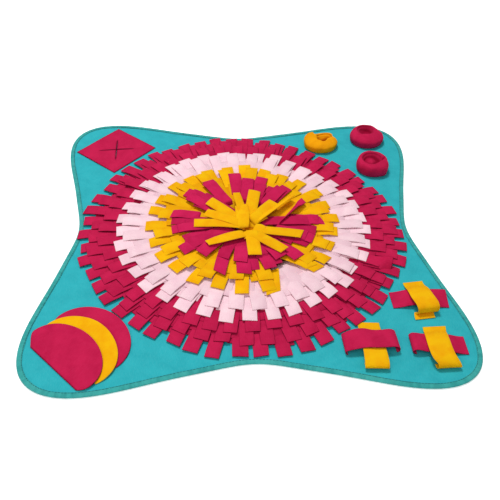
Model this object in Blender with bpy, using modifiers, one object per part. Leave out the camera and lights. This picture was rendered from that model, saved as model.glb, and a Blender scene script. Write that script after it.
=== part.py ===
"""Snuffle mat: a four-pointed cloth mat with a flower of cut felt fringe and four corner games.

Metres, +Z up. The mat lies flat on z = 0, centred on the origin, with its points on the diagonals.
"""

import math
from typing import NamedTuple

import bmesh
import bpy
from mathutils import Matrix, Vector

MM = 0.001

# ---- Driving dimensions -------------------------------------------------------------------------

SEAT_GAP = 0.3 * MM          # left between one sewn piece and what it lies on
FELT = 1.6 * MM              # thickness of every felt piece

# Outline of the mat: radius = MEAN_RADIUS + the sum of these waves of the angle from a point.
MEAN_RADIUS = 393.0 * MM
OUTLINE_WAVES = ((4, 83.2 * MM), (8, 15.4 * MM), (12, 4.5 * MM))
OUTLINE_POINTS = 104
POINT_CROWDING = 0.11        # radians that the outline's points are drawn towards the mat's points

PANEL_THICKNESS = 3.0 * MM
MARGIN_BOTTOM = 1.3 * MM     # the panel's pressed margin lies inside the binding
MARGIN_TOP = 2.5 * MM
BINDING_WIDTH = 9.0 * MM
BINDING_CLOTH = 1.0 * MM
BINDING_HEIGHT = 3.8 * MM
MARGIN_PLAY = 0.5 * MM       # between the panel and the binding, along the cloth

PANEL_TOP = PANEL_THICKNESS + SEAT_GAP   # where everything sewn to the panel starts

ROOT_BAND_TOP = 5.2 * MM     # height of the upright band that a row of tabs is slit from
TAB_DROOP_LENGTH = 15.0 * MM  # the last stretch of a tab, which bends down
TAB_DROOP = 1.0 * MM
TAB_BEND_OUT = 8.0 * MM      # how far out of its root band a tab reaches its shoulder
SHOULDER = 0.84              # height of the shoulder as a share of the tab's crest
LEAST_SHOULDER = 1.6 * MM    # and never less than this over the root band
LENGTH_PLAY = 5.0 * MM       # tabs are cut this much longer or shorter
LEAN_PLAY = 3.0 * MM         # and their ends lie this far to either side


FLOWER_CENTRE = (-3.0 * MM, 1.5 * MM)
# Where the tabs are cut a little shorter: round which angle, how far to each side, by what share.
SHORT_SIDES = (
    (math.radians(-40.0), math.radians(28.0), 0.025),
    (math.radians(46.0), math.radians(22.0), 0.035),
)
FRONT_ANGLE = math.radians(-90.0)        # where the rows end in even steps
FRONT_SPREAD = math.radians(50.0)
TUFT_CENTRE = (4.0 * MM, -18.0 * MM)


class FringeRow(NamedTuple):
    """One row of tabs. Radii are from the flower's centre, heights from the floor."""

    name: str
    colour: str
    tabs: int
    root: float      # radius of the root band
    tip: float       # radius that the tabs reach
    end: float       # height of the middle of a tab's end
    width: float     # width of one tab
    stretch: float = 0.0     # how much further the tabs reach away from the front


FRINGE_ROWS = (
    FringeRow("crimson_row_1", "crimson", 52, 0.246, 0.3135, 0.0066, 0.0255),
    FringeRow("crimson_row_2", "crimson", 48, 0.224, 0.2890, 0.0096, 0.0250, 0.008),
    FringeRow("crimson_row_3", "crimson", 44, 0.202, 0.2650, 0.0127, 0.0250, 0.012),
    FringeRow("pink_row_1", "pink", 38, 0.180, 0.2450, 0.0158, 0.0255),
    FringeRow("pink_row_2", "pink", 34, 0.158, 0.2200, 0.0189, 0.0250, 0.012),
    FringeRow("yellow_row_1", "yellow", 26, 0.128, 0.1850, 0.0220, 0.0255),
    FringeRow("yellow_row_2", "yellow", 20, 0.104, 0.1620, 0.0250, 0.0250, 0.009),
    FringeRow("magenta_row_1", "magenta", 15, 0.080, 0.1450, 0.0279, 0.0255),
    FringeRow("magenta_row_2", "magenta", 10, 0.056, 0.1230, 0.0307, 0.0260, 0.008),
)


class CentreTab(NamedTuple):
    """One tab of the centre tuft: the core's side it is gathered at, its end's angle and reach."""

    side: int        # which side of the core, counted round from the side at 15 degrees
    tier: int        # 0 is the lower tier of the core, 1 the upper
    angle: float     # degrees
    reach: float


CENTRE_TABS = (
    CentreTab(1, 0, 49.0, 0.085),
    CentreTab(1, 1, 42.0, 0.125),
    CentreTab(2, 0, 80.0, 0.104),
    CentreTab(3, 1, 105.0, 0.094),
    CentreTab(4, 0, 136.0, 0.103),
    CentreTab(5, 1, 158.0, 0.087),
    CentreTab(6, 0, 178.0, 0.103),
    CentreTab(7, 1, 215.0, 0.096),
    CentreTab(9, 0, 275.0, 0.086),
    CentreTab(10, 1, 309.0, 0.098),
    CentreTab(11, 0, 343.0, 0.104),
)
CORE_RADIUS = 14.0 * MM
CORE_SIDES = 12
TIER_HEIGHTS = (14.0 * MM, 19.0 * MM)    # middle of the side faces that the tabs start from
CORE_TOP = 22.0 * MM
CENTRE_CRESTS = (35.2 * MM, 38.6 * MM)
CENTRE_ENDS = (34.2 * MM, 37.2 * MM)
CENTRE_WIDTH = 24.0 * MM
CENTRE_SPREAD = 0.50         # a centre tab is no wider than this share of the radius
CENTRE_BEND_OUT = 9.0 * MM   # how far out of the core a centre tab reaches its shoulder
CENTRE_SHOULDER = 0.62       # the shoulder's share of the climb from the core to the crest
CENTRE_CREST = 0.5           # where the crest is, as a share of the reach
CENTRE_SWEEP = 0.6           # how much of its root's turn a centre tab keeps at its shoulder

PATCH_CENTRE = (-0.2780, 0.2790)
PATCH_SIDE = 0.1185
PATCH_TURN = math.radians(49.0)
SLIT_LENGTH = 0.084
SLIT_OPEN = 2.0 * MM         # from the slit's middle to each of the four cut points
SLIT_LIFT = 2.2 * MM


class Cup(NamedTuple):
    """A rolled felt cup. Its mouth is drawn in by a share of its radius, lobes times round."""

    name: str
    colour: str
    centre: tuple
    lobes: int
    draw: float
    turn: float      # degrees
    size: float      # share of the full radius
    depth: float     # share of the radius from front to back
    height: float    # share of the full height


CUPS = (
    Cup("cup_yellow", "yellow", (0.1865, 0.2880), 3, 0.20, 80.0, 0.98, 0.88, 0.90),
    Cup("cup_crimson_back", "crimson", (0.2980, 0.3115), 2, 0.10, 20.0, 1.02, 1.00, 1.00),
    Cup("cup_crimson_front", "crimson", (0.2895, 0.1990), 2, 0.12, 120.0, 0.94, 1.04, 1.08),
)
CUP_STEPS = 20
# Section of a cup, from the underside's middle round the outer wall and rim to the hollow's middle.
CUP_SECTION = (
    (0.0, PANEL_TOP),
    (29.0 * MM, PANEL_TOP),
    (36.5 * MM, 11.0 * MM),
    (37.0 * MM, 20.0 * MM),
    (32.5 * MM, 28.0 * MM),
    (25.0 * MM, 29.5 * MM),
    (19.5 * MM, 24.0 * MM),
    (17.0 * MM, 12.0 * MM),
    (0.0, 9.0 * MM),
)
CUP_MOUTH_FROM = 32.0 * MM   # the lobes take hold inside this radius
CUP_RIM_FROM = 20.0 * MM     # the rim is uneven above this height
CUP_RIM_PLAY = 1.2 * MM

FLAP_CHORD = (-0.3180, -0.3180)          # middle of the top flap's sewn edge
FLAP_STEP = 27.0 * MM                    # each lower flap is sewn this much nearer the flower
FLAP_HALF_CHORD = 60.0 * MM
FLAP_HALF_WIDTH = 71.0 * MM
FLAP_SHOULDER = 18.0 * MM
FLAP_DEPTH = 76.0 * MM
FLAP_RISE_LENGTH = 26.0 * MM
FLAP_ROWS = 8
FLAP_COLUMNS = 10
FLAP_LAST_ROW = math.radians(83.0)       # rows crowd towards the free edge as a sine does


class Flap(NamedTuple):
    """One half-round flap: its place in the stack and how far its cloth stands up."""

    name: str
    colour: str
    step: int        # 0 is the top flap, sewn nearest the mat's point
    climb: float     # over the sewn edge of the flap under it
    lift: float      # of the free edge


FLAPS = (
    Flap("flap_crimson_low", "crimson", 2, 0.0, 3.0 * MM),
    Flap("flap_yellow", "yellow", 1, 2.4 * MM, 4.0 * MM),
    Flap("flap_crimson_top", "crimson", 0, 2.6 * MM, 6.0 * MM),
)


class Band(NamedTuple):
    """One arched band of a crossed pair, sewn down at both its ends."""

    name: str
    colour: str
    centre: tuple
    angle: float     # degrees, the way the band runs
    length: float
    rise: float


BANDS = (
    Band("band_crimson_right", "crimson", (0.2935, -0.1910), 3.0, 0.100, 9.0 * MM),
    Band("band_yellow_right", "yellow", (0.3010, -0.1890), 97.0, 0.094, 21.0 * MM),
    Band("band_yellow_left", "yellow", (0.1930, -0.2880), 87.0, 0.093, 9.0 * MM),
    Band("band_crimson_left", "crimson", (0.1910, -0.2880), 2.0, 0.096, 22.0 * MM),
    Band("band_crimson_corner", "crimson", (0.3030, -0.2930), -2.0, 0.092, 9.0 * MM),
    Band("band_yellow_corner", "yellow", (0.3080, -0.2930), 92.0, 0.094, 21.0 * MM),
)
BAND_WIDTH = 37.0 * MM
BAND_STEPS = 12
BAND_FLATNESS = 1.25         # over 1, a band's ends lie flatter on the panel

FELT_ROUGHNESS = 0.95
COLOURS = {
    "teal": (0.030, 0.440, 0.500),
    "binding_teal": (0.030, 0.340, 0.330),
    "crimson": (0.560, 0.014, 0.075),
    "magenta": (0.600, 0.016, 0.095),
    "pink": (0.900, 0.640, 0.760),
    "yellow": (0.900, 0.470, 0.010),
}


# ---- Scene, materials and objects ---------------------------------------------------------------

def clear_scene():
    """Remove every object that the file opens with."""
    for obj in list(bpy.data.objects):
        bpy.data.objects.remove(obj, do_unlink=True)


def felt_material(colour):
    """A matt cloth material, made once for each colour."""
    made = bpy.data.materials.get(colour)
    if made is None:
        made = bpy.data.materials.new(colour)
        made.use_nodes = True
        shader = made.node_tree.nodes["Principled BSDF"]
        shader.inputs["Base Color"].default_value = (*COLOURS[colour], 1.0)
        shader.inputs["Roughness"].default_value = FELT_ROUGHNESS
        shader.inputs["Metallic"].default_value = 0.0
    return made


def add_object(name, bm, colour, collection):
    """Turn a bmesh into a named object of one colour, in the mat's collection."""
    bmesh.ops.recalc_face_normals(bm, faces=bm.faces)
    mesh = bpy.data.meshes.new(name)
    bm.to_mesh(mesh)
    bm.free()
    mesh.materials.append(felt_material(colour))
    obj = bpy.data.objects.new(name, mesh)
    collection.objects.link(obj)
    return obj


def uneven(index, seed):
    """A repeatable number from -1 to 1 that looks unrelated for each index and seed."""
    return 2.0 * ((math.sin(12.9898 * index + 78.233 * seed) * 43758.5453) % 1.0) - 1.0


def smooth(share):
    """An eased step from 0 to 1."""
    share = min(max(share, 0.0), 1.0)
    return share * share * (3.0 - 2.0 * share)


def grow(bm, face, keep_base=False):
    """Extrude one face and return the new one; the old face goes, unless it closes the solid."""
    grown = bmesh.ops.extrude_face_region(bm, geom=[face])["geom"]
    if not keep_base:
        bmesh.ops.delete(bm, geom=[face], context="FACES_ONLY")
    return next(item for item in grown if isinstance(item, bmesh.types.BMFace))


# ---- Panel and binding --------------------------------------------------------------------------

def outline_radius(angle):
    """Radius of the mat's edge at an angle: a four-pointed star with waisted sides."""
    from_point = angle - math.pi / 4
    return MEAN_RADIUS + sum(height * math.cos(count * from_point) for count, height in OUTLINE_WAVES)


def outline_point(angle, inset):
    """A point inside the mat's edge by inset, measured square to the edge."""
    step = 1e-4
    ahead = angle + step
    here = Vector((math.cos(angle), math.sin(angle))) * outline_radius(angle)
    along = Vector((math.cos(ahead), math.sin(ahead))) * outline_radius(ahead) - here
    inward = Vector((-along.y, along.x)).normalized()
    return here + inward * inset


def place_ring(ring, inset, height):
    """Put a ring of vertices, in order round the mat, at an inset and a height."""
    for index, vertex in enumerate(ring):
        angle = 2 * math.pi * index / OUTLINE_POINTS
        angle -= POINT_CROWDING * math.sin(4 * (angle - math.pi / 4))
        point = outline_point(angle, inset)
        vertex.co = (point.x, point.y, height)


def build_panel(collection):
    """The sheet: a disc extruded up through its pressed margin, each ring set on the outline."""
    inner = BINDING_WIDTH + MARGIN_PLAY
    outer = BINDING_CLOTH + MARGIN_PLAY
    rings = (
        (inner, MARGIN_BOTTOM), (outer, MARGIN_BOTTOM), (outer, MARGIN_TOP),
        (inner, MARGIN_TOP), (inner, PANEL_THICKNESS),
    )
    bm = bmesh.new()
    order = bm.verts.layers.int.new("order")
    made = bmesh.ops.create_circle(bm, cap_ends=True, segments=OUTLINE_POINTS, radius=1.0)
    ring = sorted(made["verts"], key=lambda vertex: math.atan2(vertex.co.y, vertex.co.x) % (2 * math.pi))
    for index, vertex in enumerate(ring):
        vertex[order] = index
    place_ring(ring, inner, 0.0)
    cap = bm.faces[:][0]
    for count, (inset, height) in enumerate(rings):
        cap = grow(bm, cap, keep_base=count == 0)
        place_ring(sorted(cap.verts, key=lambda vertex: vertex[order]), inset, height)
    return add_object("base_panel", bm, "teal", collection)


def build_binding(collection):
    """The tape: a C-shaped section carried round the outline, folded over the panel's margin."""
    under = BINDING_HEIGHT - BINDING_CLOTH
    section = (
        (BINDING_WIDTH, 0.0), (0.0, 0.0), (0.0, BINDING_HEIGHT), (BINDING_WIDTH, BINDING_HEIGHT),
        (BINDING_WIDTH, under), (BINDING_CLOTH, under), (BINDING_CLOTH, BINDING_CLOTH),
        (BINDING_WIDTH, BINDING_CLOTH),
    )
    bm = bmesh.new()
    rings = []
    for inset, height in section:
        ring = bmesh.ops.create_circle(bm, cap_ends=False, segments=OUTLINE_POINTS, radius=1.0)["verts"]
        ring.sort(key=lambda vertex: math.atan2(vertex.co.y, vertex.co.x) % (2 * math.pi))
        place_ring(ring, inset, height)
        rings.append(ring)
    for low, high in zip(rings, rings[1:] + rings[:1]):
        for index in range(OUTLINE_POINTS):
            ahead = (index + 1) % OUTLINE_POINTS
            bm.faces.new((low[index], low[ahead], high[ahead], high[index]))
    return add_object("edge_binding", bm, "binding_teal", collection)


# ---- Fringe -------------------------------------------------------------------------------------

def mitre(before, here, after):
    """Half a felt thickness across a bent line at one of its points, as (out, up)."""
    first = (Vector(here) - Vector(before)).normalized()
    last = (Vector(after) - Vector(here)).normalized()
    across = (first + last).normalized()
    across = Vector((-across.y, across.x))
    return across * (FELT / 2) / max(across.dot(Vector((-first.y, first.x))), 0.5)


def row_reach(row, angle):
    """Radius that a row's tabs reach at an angle round the flower."""
    def nearness(middle, spread):
        away = (angle - middle + math.pi) % (2 * math.pi) - math.pi
        return math.exp(-((away / spread) ** 2))

    reach = row.tip + row.stretch * (1.0 - nearness(FRONT_ANGLE, FRONT_SPREAD))
    for middle, spread, share in SHORT_SIDES:
        reach *= 1.0 - share * nearness(middle, spread)
    return reach


def tab_line(row, reach):
    """Middle line of a tab, as (radius, height): up from its band, over, and down to its end."""
    crest = row.end + TAB_DROOP
    return (
        (row.root, ROOT_BAND_TOP),
        (row.root + TAB_BEND_OUT, max(SHOULDER * crest, ROOT_BAND_TOP + LEAST_SHOULDER)),
        (reach - TAB_DROOP_LENGTH, crest),
        (reach, row.end),
    )


def extrude_tab(bm, face, corner, line, sideways, widths, angle):
    """Carry a root face along a line: one extrusion for each point after the first."""
    out = Vector((math.cos(angle), math.sin(angle), 0.0))
    side = Vector((-math.sin(angle), math.cos(angle), 0.0))
    for index in range(1, len(line)):
        ahead = line[index + 1] if index + 1 < len(line) else [
            2 * here - back for here, back in zip(line[index], line[index - 1])]
        half = mitre(line[index - 1], line[index], ahead)
        face = grow(bm, face)
        for vertex in face.verts:
            upper = 1.0 if vertex[corner] & 1 else -1.0
            left = 1.0 if vertex[corner] & 2 else -1.0
            radius = line[index][0] + upper * half.x
            height = line[index][1] + upper * half.y
            across = sideways[index] + left * widths[index] / 2
            vertex.co = out * radius + side * across + Vector((0.0, 0.0, height))


def build_fringe_row(row, seed, collection):
    """A root band turned round the centre, and tabs drawn out of its top faces."""
    bm = bmesh.new()
    corner = bm.verts.layers.int.new("corner")
    half_angle = math.asin(row.width / 2 / row.root)
    pitch = 2 * math.pi / row.tabs
    start = pitch * seed * 0.37
    profile = [
        bm.verts.new((row.root + across * FELT / 2, 0.0, height))
        for across, height in ((-1, PANEL_TOP), (1, PANEL_TOP), (1, ROOT_BAND_TOP), (-1, ROOT_BAND_TOP))
    ]
    edges = [bm.edges.new((profile[index], profile[index - 1])) for index in range(4)]
    bmesh.ops.spin(bm, geom=profile + edges, cent=(0, 0, 0), axis=(0, 0, 1), angle=2 * math.pi,
                   steps=2 * row.tabs, use_merge=True, use_duplicate=False)
    for vertex in bm.verts:
        count = round((math.atan2(vertex.co.y, vertex.co.x) % (2 * math.pi)) / (pitch / 2)) % (2 * row.tabs)
        angle = start + pitch * (count // 2) + (half_angle if count % 2 else -half_angle)
        radius = math.hypot(vertex.co.x, vertex.co.y)
        inside = radius < row.root
        vertex.co = (radius * math.cos(angle), radius * math.sin(angle), vertex.co.z)
        vertex[corner] = (1 if inside else 0) + (2 if count % 2 else 0)
    bm.normal_update()
    tops = [face for face in bm.faces if all(vertex.co.z > ROOT_BAND_TOP - 0.1 * MM for vertex in face.verts)]
    for face in tops:
        centre = face.calc_center_median()
        angle = math.atan2(centre.y, centre.x)
        count = round(((angle - start) % (2 * math.pi)) / pitch, 3)
        if abs(count - round(count)) > 0.1:
            continue
        index = round(count) % row.tabs
        reach = row_reach(row, angle) + LENGTH_PLAY * uneven(index, seed)
        lean = LEAN_PLAY * uneven(index, seed + 20)
        extrude_tab(bm, face, corner, tab_line(row, reach), (0.0, 0.0, 0.75 * lean, lean),
                    (row.width,) * 4, angle)
    bmesh.ops.translate(bm, vec=(*FLOWER_CENTRE, 0.0), verts=bm.verts)
    return add_object(row.name, bm, row.colour, collection)


def build_centre(collection):
    """A many-sided core with tabs gathered at two heights of its sides."""
    heights = [PANEL_TOP]
    for middle in TIER_HEIGHTS:
        heights += [middle - FELT / 2, middle + FELT / 2]
    heights.append(CORE_TOP)
    bm = bmesh.new()
    corner = bm.verts.layers.int.new("corner")
    side_angle = 2 * math.pi / CORE_SIDES
    cap = bmesh.ops.create_circle(bm, cap_ends=True, segments=CORE_SIDES, radius=CORE_RADIUS)
    for vertex in cap["verts"]:
        vertex.co.z = heights[0]
    face = bm.faces[:][0]
    for count, height in enumerate(heights[1:]):
        face = grow(bm, face, keep_base=count == 0)
        for vertex in face.verts:
            vertex.co.z = height
    bm.faces.ensure_lookup_table()
    sides = {}
    for side in bm.faces:
        centre = side.calc_center_median()
        for tier, middle in enumerate(TIER_HEIGHTS):
            if abs(centre.z - middle) < 0.1 * MM and len(side.verts) == 4:
                count = int((math.atan2(centre.y, centre.x) % (2 * math.pi)) / side_angle)
                sides[tier, count] = side
    for tab in CENTRE_TABS:
        face = sides[tab.tier, tab.side]
        angle = math.radians(tab.angle)
        centre = face.calc_center_median()
        for vertex in face.verts:
            left = centre.xy.to_3d().cross(vertex.co).z > 0.0
            vertex[corner] = (1 if vertex.co.z > centre.z else 0) + (2 if left else 0)
        crest, end = CENTRE_CRESTS[tab.tier], CENTRE_ENDS[tab.tier]
        base = TIER_HEIGHTS[tab.tier]
        line = (
            (CORE_RADIUS, base),
            (CORE_RADIUS + CENTRE_BEND_OUT, base + CENTRE_SHOULDER * (crest - base)),
            (CENTRE_CREST * tab.reach, crest),
            (tab.reach, end),
        )
        turn = (math.atan2(centre.y, centre.x) - angle + math.pi) % (2 * math.pi) - math.pi
        sideways = (0.0, CENTRE_SWEEP * line[1][0] * math.sin(turn), 0.0, 0.0)
        widths = [min(CENTRE_WIDTH, CENTRE_SPREAD * radius) for radius, _ in line]
        extrude_tab(bm, face, corner, line, sideways, widths, angle)
    bmesh.ops.translate(bm, vec=(*TUFT_CENTRE, 0.0), verts=bm.verts)
    return add_object("centre_tuft", bm, "yellow", collection)


# ---- Corner games -------------------------------------------------------------------------------

def build_patch(collection):
    """A flat square of felt, filled round a slit that crosses it from point to point."""
    half_side, half_slit = PATCH_SIDE / 2, SLIT_LENGTH / 2
    outline = [(half_side * x, half_side * y) for x, y in ((1, 1), (-1, 1), (-1, -1), (1, -1))]
    slit = []
    for quarter in range(4):
        along = math.pi / 4 + quarter * math.pi / 2
        between = along + math.pi / 4
        slit.append((half_slit * math.cos(along), half_slit * math.sin(along)))
        slit.append((SLIT_OPEN * math.cos(between), SLIT_OPEN * math.sin(between)))
    curve = bpy.data.curves.new("patch_outline", "CURVE")
    curve.dimensions = "2D"
    curve.fill_mode = "BOTH"
    curve.extrude = FELT / 2
    for points in (outline, slit):
        spline = curve.splines.new("POLY")
        spline.points.add(len(points) - 1)
        for point, (x, y) in zip(spline.points, points):
            point.co = (x, y, 0.0, 1.0)
        spline.use_cyclic_u = True
    guide = bpy.data.objects.new("patch_outline", curve)
    collection.objects.link(guide)
    graph = bpy.context.evaluated_depsgraph_get()
    bm = bmesh.new()
    bm.from_mesh(bpy.data.meshes.new_from_object(guide.evaluated_get(graph)))
    bpy.data.objects.remove(guide, do_unlink=True)
    bmesh.ops.remove_doubles(bm, verts=bm.verts, dist=1e-6)
    for vertex in bm.verts:
        if vertex.co.xy.length < 1.1 * SLIT_OPEN:
            vertex.co.z += SLIT_LIFT
    place = Matrix.Translation((*PATCH_CENTRE, PANEL_TOP + FELT / 2)) @ Matrix.Rotation(PATCH_TURN, 4, "Z")
    bmesh.ops.transform(bm, matrix=place, verts=bm.verts)
    return add_object("diamond_patch", bm, "crimson", collection)


def build_cup(cup, collection):
    """A thick rolled cup: its section turned round, and the mouth drawn in between its lobes."""
    bm = bmesh.new()
    section = [bm.verts.new((radius * cup.size, 0.0, height)) for radius, height in CUP_SECTION]
    edges = [bm.edges.new(pair) for pair in zip(section, section[1:])]
    bmesh.ops.spin(bm, geom=section + edges, cent=(0, 0, 0), axis=(0, 0, 1), angle=2 * math.pi,
                   steps=CUP_STEPS, use_merge=True, use_duplicate=False)
    bmesh.ops.remove_doubles(bm, verts=bm.verts, dist=1e-6)
    for vertex in bm.verts:
        radius = vertex.co.xy.length
        if radius < 1e-6 or vertex.co.z < PANEL_TOP + 1.0 * MM:
            continue
        angle = math.atan2(vertex.co.y, vertex.co.x) - math.radians(cup.turn)
        hold = smooth((CUP_MOUTH_FROM - radius) / (CUP_MOUTH_FROM / 2))
        vertex.co.xy *= 1.0 + cup.draw * hold * math.cos(cup.lobes * angle)
        if vertex.co.z > CUP_RIM_FROM:
            vertex.co.z += CUP_RIM_PLAY * math.cos(angle + 1.0)
    for vertex in bm.verts:
        vertex.co.y *= cup.depth
        vertex.co.z = PANEL_TOP + (vertex.co.z - PANEL_TOP) * cup.height
    bmesh.ops.translate(bm, vec=(*cup.centre, 0.0), verts=bm.verts)
    return add_object(cup.name, bm, cup.colour, collection)


def flap_half_width(depth):
    """Half the width of a flap at a depth from its sewn edge: a short flare, then half an ellipse."""
    if depth < FLAP_SHOULDER:
        flare = math.sin(math.pi / 2 * depth / FLAP_SHOULDER)
        return FLAP_HALF_CHORD + (FLAP_HALF_WIDTH - FLAP_HALF_CHORD) * flare
    share = (depth - FLAP_SHOULDER) / (FLAP_DEPTH - FLAP_SHOULDER)
    return FLAP_HALF_WIDTH * math.sqrt(max(1.0 - share * share, 0.0))


def solidify(obj, thickness):
    """Give an open sheet its thickness, upwards."""
    solid = obj.modifiers.new("thickness", "SOLIDIFY")
    solid.thickness = thickness
    solid.offset = 1.0
    solid.use_even_offset = True


def build_flap(flap, collection):
    """A half-round sheet, sewn along its straight edge, that climbs over the flap under it."""
    bm = bmesh.new()
    bmesh.ops.create_grid(bm, x_segments=FLAP_COLUMNS, y_segments=FLAP_ROWS, size=1.0)
    for vertex in bm.verts:
        depth = FLAP_DEPTH * math.sin((vertex.co.y + 1) / 2 * FLAP_LAST_ROW)
        along = vertex.co.x * flap_half_width(depth)
        rise = flap.climb * smooth(depth / FLAP_RISE_LENGTH) + flap.lift * (depth / FLAP_DEPTH) ** 1.5
        vertex.co = (along, depth + flap.step * FLAP_STEP, PANEL_TOP + rise)
    place = Matrix.Translation((*FLAP_CHORD, 0.0)) @ Matrix.Rotation(math.radians(-45.0), 4, "Z")
    bmesh.ops.transform(bm, matrix=place, verts=bm.verts)
    obj = add_object(flap.name, bm, flap.colour, collection)
    solidify(obj, FELT)
    return obj


def build_band(band, collection):
    """A strip whose ends lie on the panel and whose middle stands up in one wave."""
    bm = bmesh.new()
    bmesh.ops.create_grid(bm, x_segments=BAND_STEPS, y_segments=1, size=1.0)
    for vertex in bm.verts:
        wave = (0.5 + 0.5 * math.cos(math.pi * vertex.co.x)) ** BAND_FLATNESS
        across = vertex.co.y * BAND_WIDTH / 2
        vertex.co = (vertex.co.x * band.length / 2, across, PANEL_TOP + band.rise * wave)
    place = Matrix.Translation((*band.centre, 0.0)) @ Matrix.Rotation(math.radians(band.angle), 4, "Z")
    bmesh.ops.transform(bm, matrix=place, verts=bm.verts)
    obj = add_object(band.name, bm, band.colour, collection)
    solidify(obj, FELT)
    return obj


def main():
    """Build every piece of the mat."""
    clear_scene()
    collection = bpy.data.collections.new("snuffle_mat")
    bpy.context.scene.collection.children.link(collection)
    build_panel(collection)
    build_binding(collection)
    for seed, row in enumerate(FRINGE_ROWS, start=1):
        build_fringe_row(row, seed, collection)
    build_centre(collection)
    build_patch(collection)
    for cup in CUPS:
        build_cup(cup, collection)
    for flap in FLAPS:
        build_flap(flap, collection)
    for band in BANDS:
        build_band(band, collection)


main()
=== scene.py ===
"""Looks of the snuffle mat: felt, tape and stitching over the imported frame, with a studio and a camera.

Metres, +Z up, the mat flat on z = 0 with its four points on the diagonals. Every piece is worked out
as whole arrays of points and rides on the mat's one body.
"""

import logging
import math
from dataclasses import dataclass, field
from enum import Enum
from functools import cache, partial, reduce

import bmesh
import bpy
import numpy as np
from mathutils import Matrix, Vector


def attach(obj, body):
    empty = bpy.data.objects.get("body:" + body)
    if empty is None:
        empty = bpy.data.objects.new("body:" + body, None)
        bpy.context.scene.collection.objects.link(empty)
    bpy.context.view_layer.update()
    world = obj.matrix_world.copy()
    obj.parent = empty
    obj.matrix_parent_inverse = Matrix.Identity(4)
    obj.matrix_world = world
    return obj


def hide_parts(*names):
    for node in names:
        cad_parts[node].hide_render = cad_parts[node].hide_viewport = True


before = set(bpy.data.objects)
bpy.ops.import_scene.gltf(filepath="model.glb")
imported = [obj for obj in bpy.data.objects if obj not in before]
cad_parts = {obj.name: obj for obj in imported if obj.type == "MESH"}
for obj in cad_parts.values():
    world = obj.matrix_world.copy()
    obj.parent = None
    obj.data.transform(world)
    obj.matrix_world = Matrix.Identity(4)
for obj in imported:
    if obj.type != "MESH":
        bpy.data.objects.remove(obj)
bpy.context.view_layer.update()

logging.basicConfig(level=logging.INFO, format="%(message)s")
LOG = logging.getLogger("snuffle_mat")

Array = np.ndarray
Colour = tuple[float, float, float]
Socket = bpy.types.NodeSocket

MM = 0.001
BODY = "root"

# ---- Sizes shared with the frame ----------------------------------------------------------------

FELT = 1.6 * MM                     # thickness of every felt piece
PANEL_TOP = 3.3 * MM                # where everything sewn to the panel starts
MEAN_RADIUS = 393.0 * MM
OUTLINE_WAVES = ((4, 83.2 * MM), (8, 15.4 * MM), (12, 4.5 * MM))
FLOWER_CENTRE = np.array((-3.0 * MM, 1.5 * MM))
TUFT_CENTRE = np.array((4.0 * MM, -18.0 * MM))
ALL_ROUND = np.linspace(0.0, 2 * np.pi, 7201)       # angles fine enough to measure the mat's edge by

ROUND_EDGE = 0.95                   # share of a strip's half width where its edge starts to round
BROAD_EDGE = 0.985                  # the same for a patch or a flap
EDGE_THICKNESS = 0.45               # thickness left at a cut edge, as a share of the sheet's
WELD = 1e-6                         # points closer than this become one where a piece closes at a pole


class Slot(Enum):
    """Material slots of the mat, by the names that its record gives them."""

    PANEL = "teal_cloth"
    TAPE = "binding_tape"
    CRIMSON = "crimson_felt"
    MAGENTA = "magenta_felt"
    PINK = "pink_felt"
    YELLOW = "yellow_felt"


class Hold(Enum):
    """Ways in which a sheet of the mat is held."""

    LAID = "laid"
    GATHERED = "gathered"
    FOLDED = "folded"
    STRETCHED = "stretched"


# ---- Numbers ------------------------------------------------------------------------------------

def uneven(index: Array, seed: float) -> Array:
    """Numbers from -1 to 1: twice the fraction of 43758.5453 sin(12.9898 index + 78.233 seed), less 1."""
    return 2.0 * ((np.sin(12.9898 * index + 78.233 * seed) * 43758.5453) % 1.0) - 1.0


def smooth(share: Array) -> Array:
    """Eased steps: share squared times (3 - 2 share), with share held between 0 and 1."""
    share = np.clip(share, 0.0, 1.0)
    return share * share * (3.0 - 2.0 * share)


def hump(value: Array, middle: float, spread: float) -> Array:
    """A bell: e to the power of minus the squared distance from the middle in spreads."""
    return np.exp(-(((value - middle) / spread) ** 2))


def turned(angle: Array, middle: float) -> Array:
    """Angles in radians from a middle one, brought between minus and plus half a turn."""
    return (angle - middle + np.pi) % (2.0 * np.pi) - np.pi


def edged(count: int, near: float = ROUND_EDGE) -> Array:
    """Even shares from -1 to 1 across a sheet, with one more close inside each edge."""
    return np.concatenate([[-1.0], np.linspace(-near, near, count - 2), [1.0]])


def heading(angle: Array) -> Array:
    """Flat directions: the cosine and the sine of each angle."""
    return np.stack([np.cos(angle), np.sin(angle)], -1)


def left_of(way: Array) -> Array:
    """Flat directions of length 1, a quarter turn to the left of others."""
    left = np.stack([-way[..., 1], way[..., 0]], -1)
    return left / np.linalg.norm(left, axis=-1, keepdims=True)


def stacked(*columns: Array | float) -> Array:
    """Numbers and arrays, spread to one shape and stacked along a new last axis."""
    return np.stack(np.broadcast_arrays(*columns), -1)


def raised(flat: Array, height: Array | float) -> Array:
    """Flat points with their heights as a third column."""
    return np.concatenate([flat, np.broadcast_to(height, flat.shape[:-1])[..., None]], -1)


def closed(over: Array, under: Array) -> Array:
    """Closed sections: the columns of the one side, then those of the other on the way back."""
    return np.concatenate([over, under[:, :, ::-1]], axis=2)


def placed(x: Array, y: Array, z: Array, centre: tuple[float, float], turn: Array | float) -> Array:
    """Points turned by an angle in radians about +Z, then moved to a centre."""
    cos, sin = np.cos(turn), np.sin(turn)
    return stacked(centre[0] + cos * x - sin * y, centre[1] + sin * x + cos * y, z)


def way_along(line: Array) -> Array:
    """Distance to each point along lines of points, added up from chord to chord."""
    steps = np.linalg.norm(np.diff(line, axis=-2), axis=-1)
    return np.concatenate([0.0 * steps[..., :1], np.cumsum(steps, axis=-1)], -1)


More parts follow.
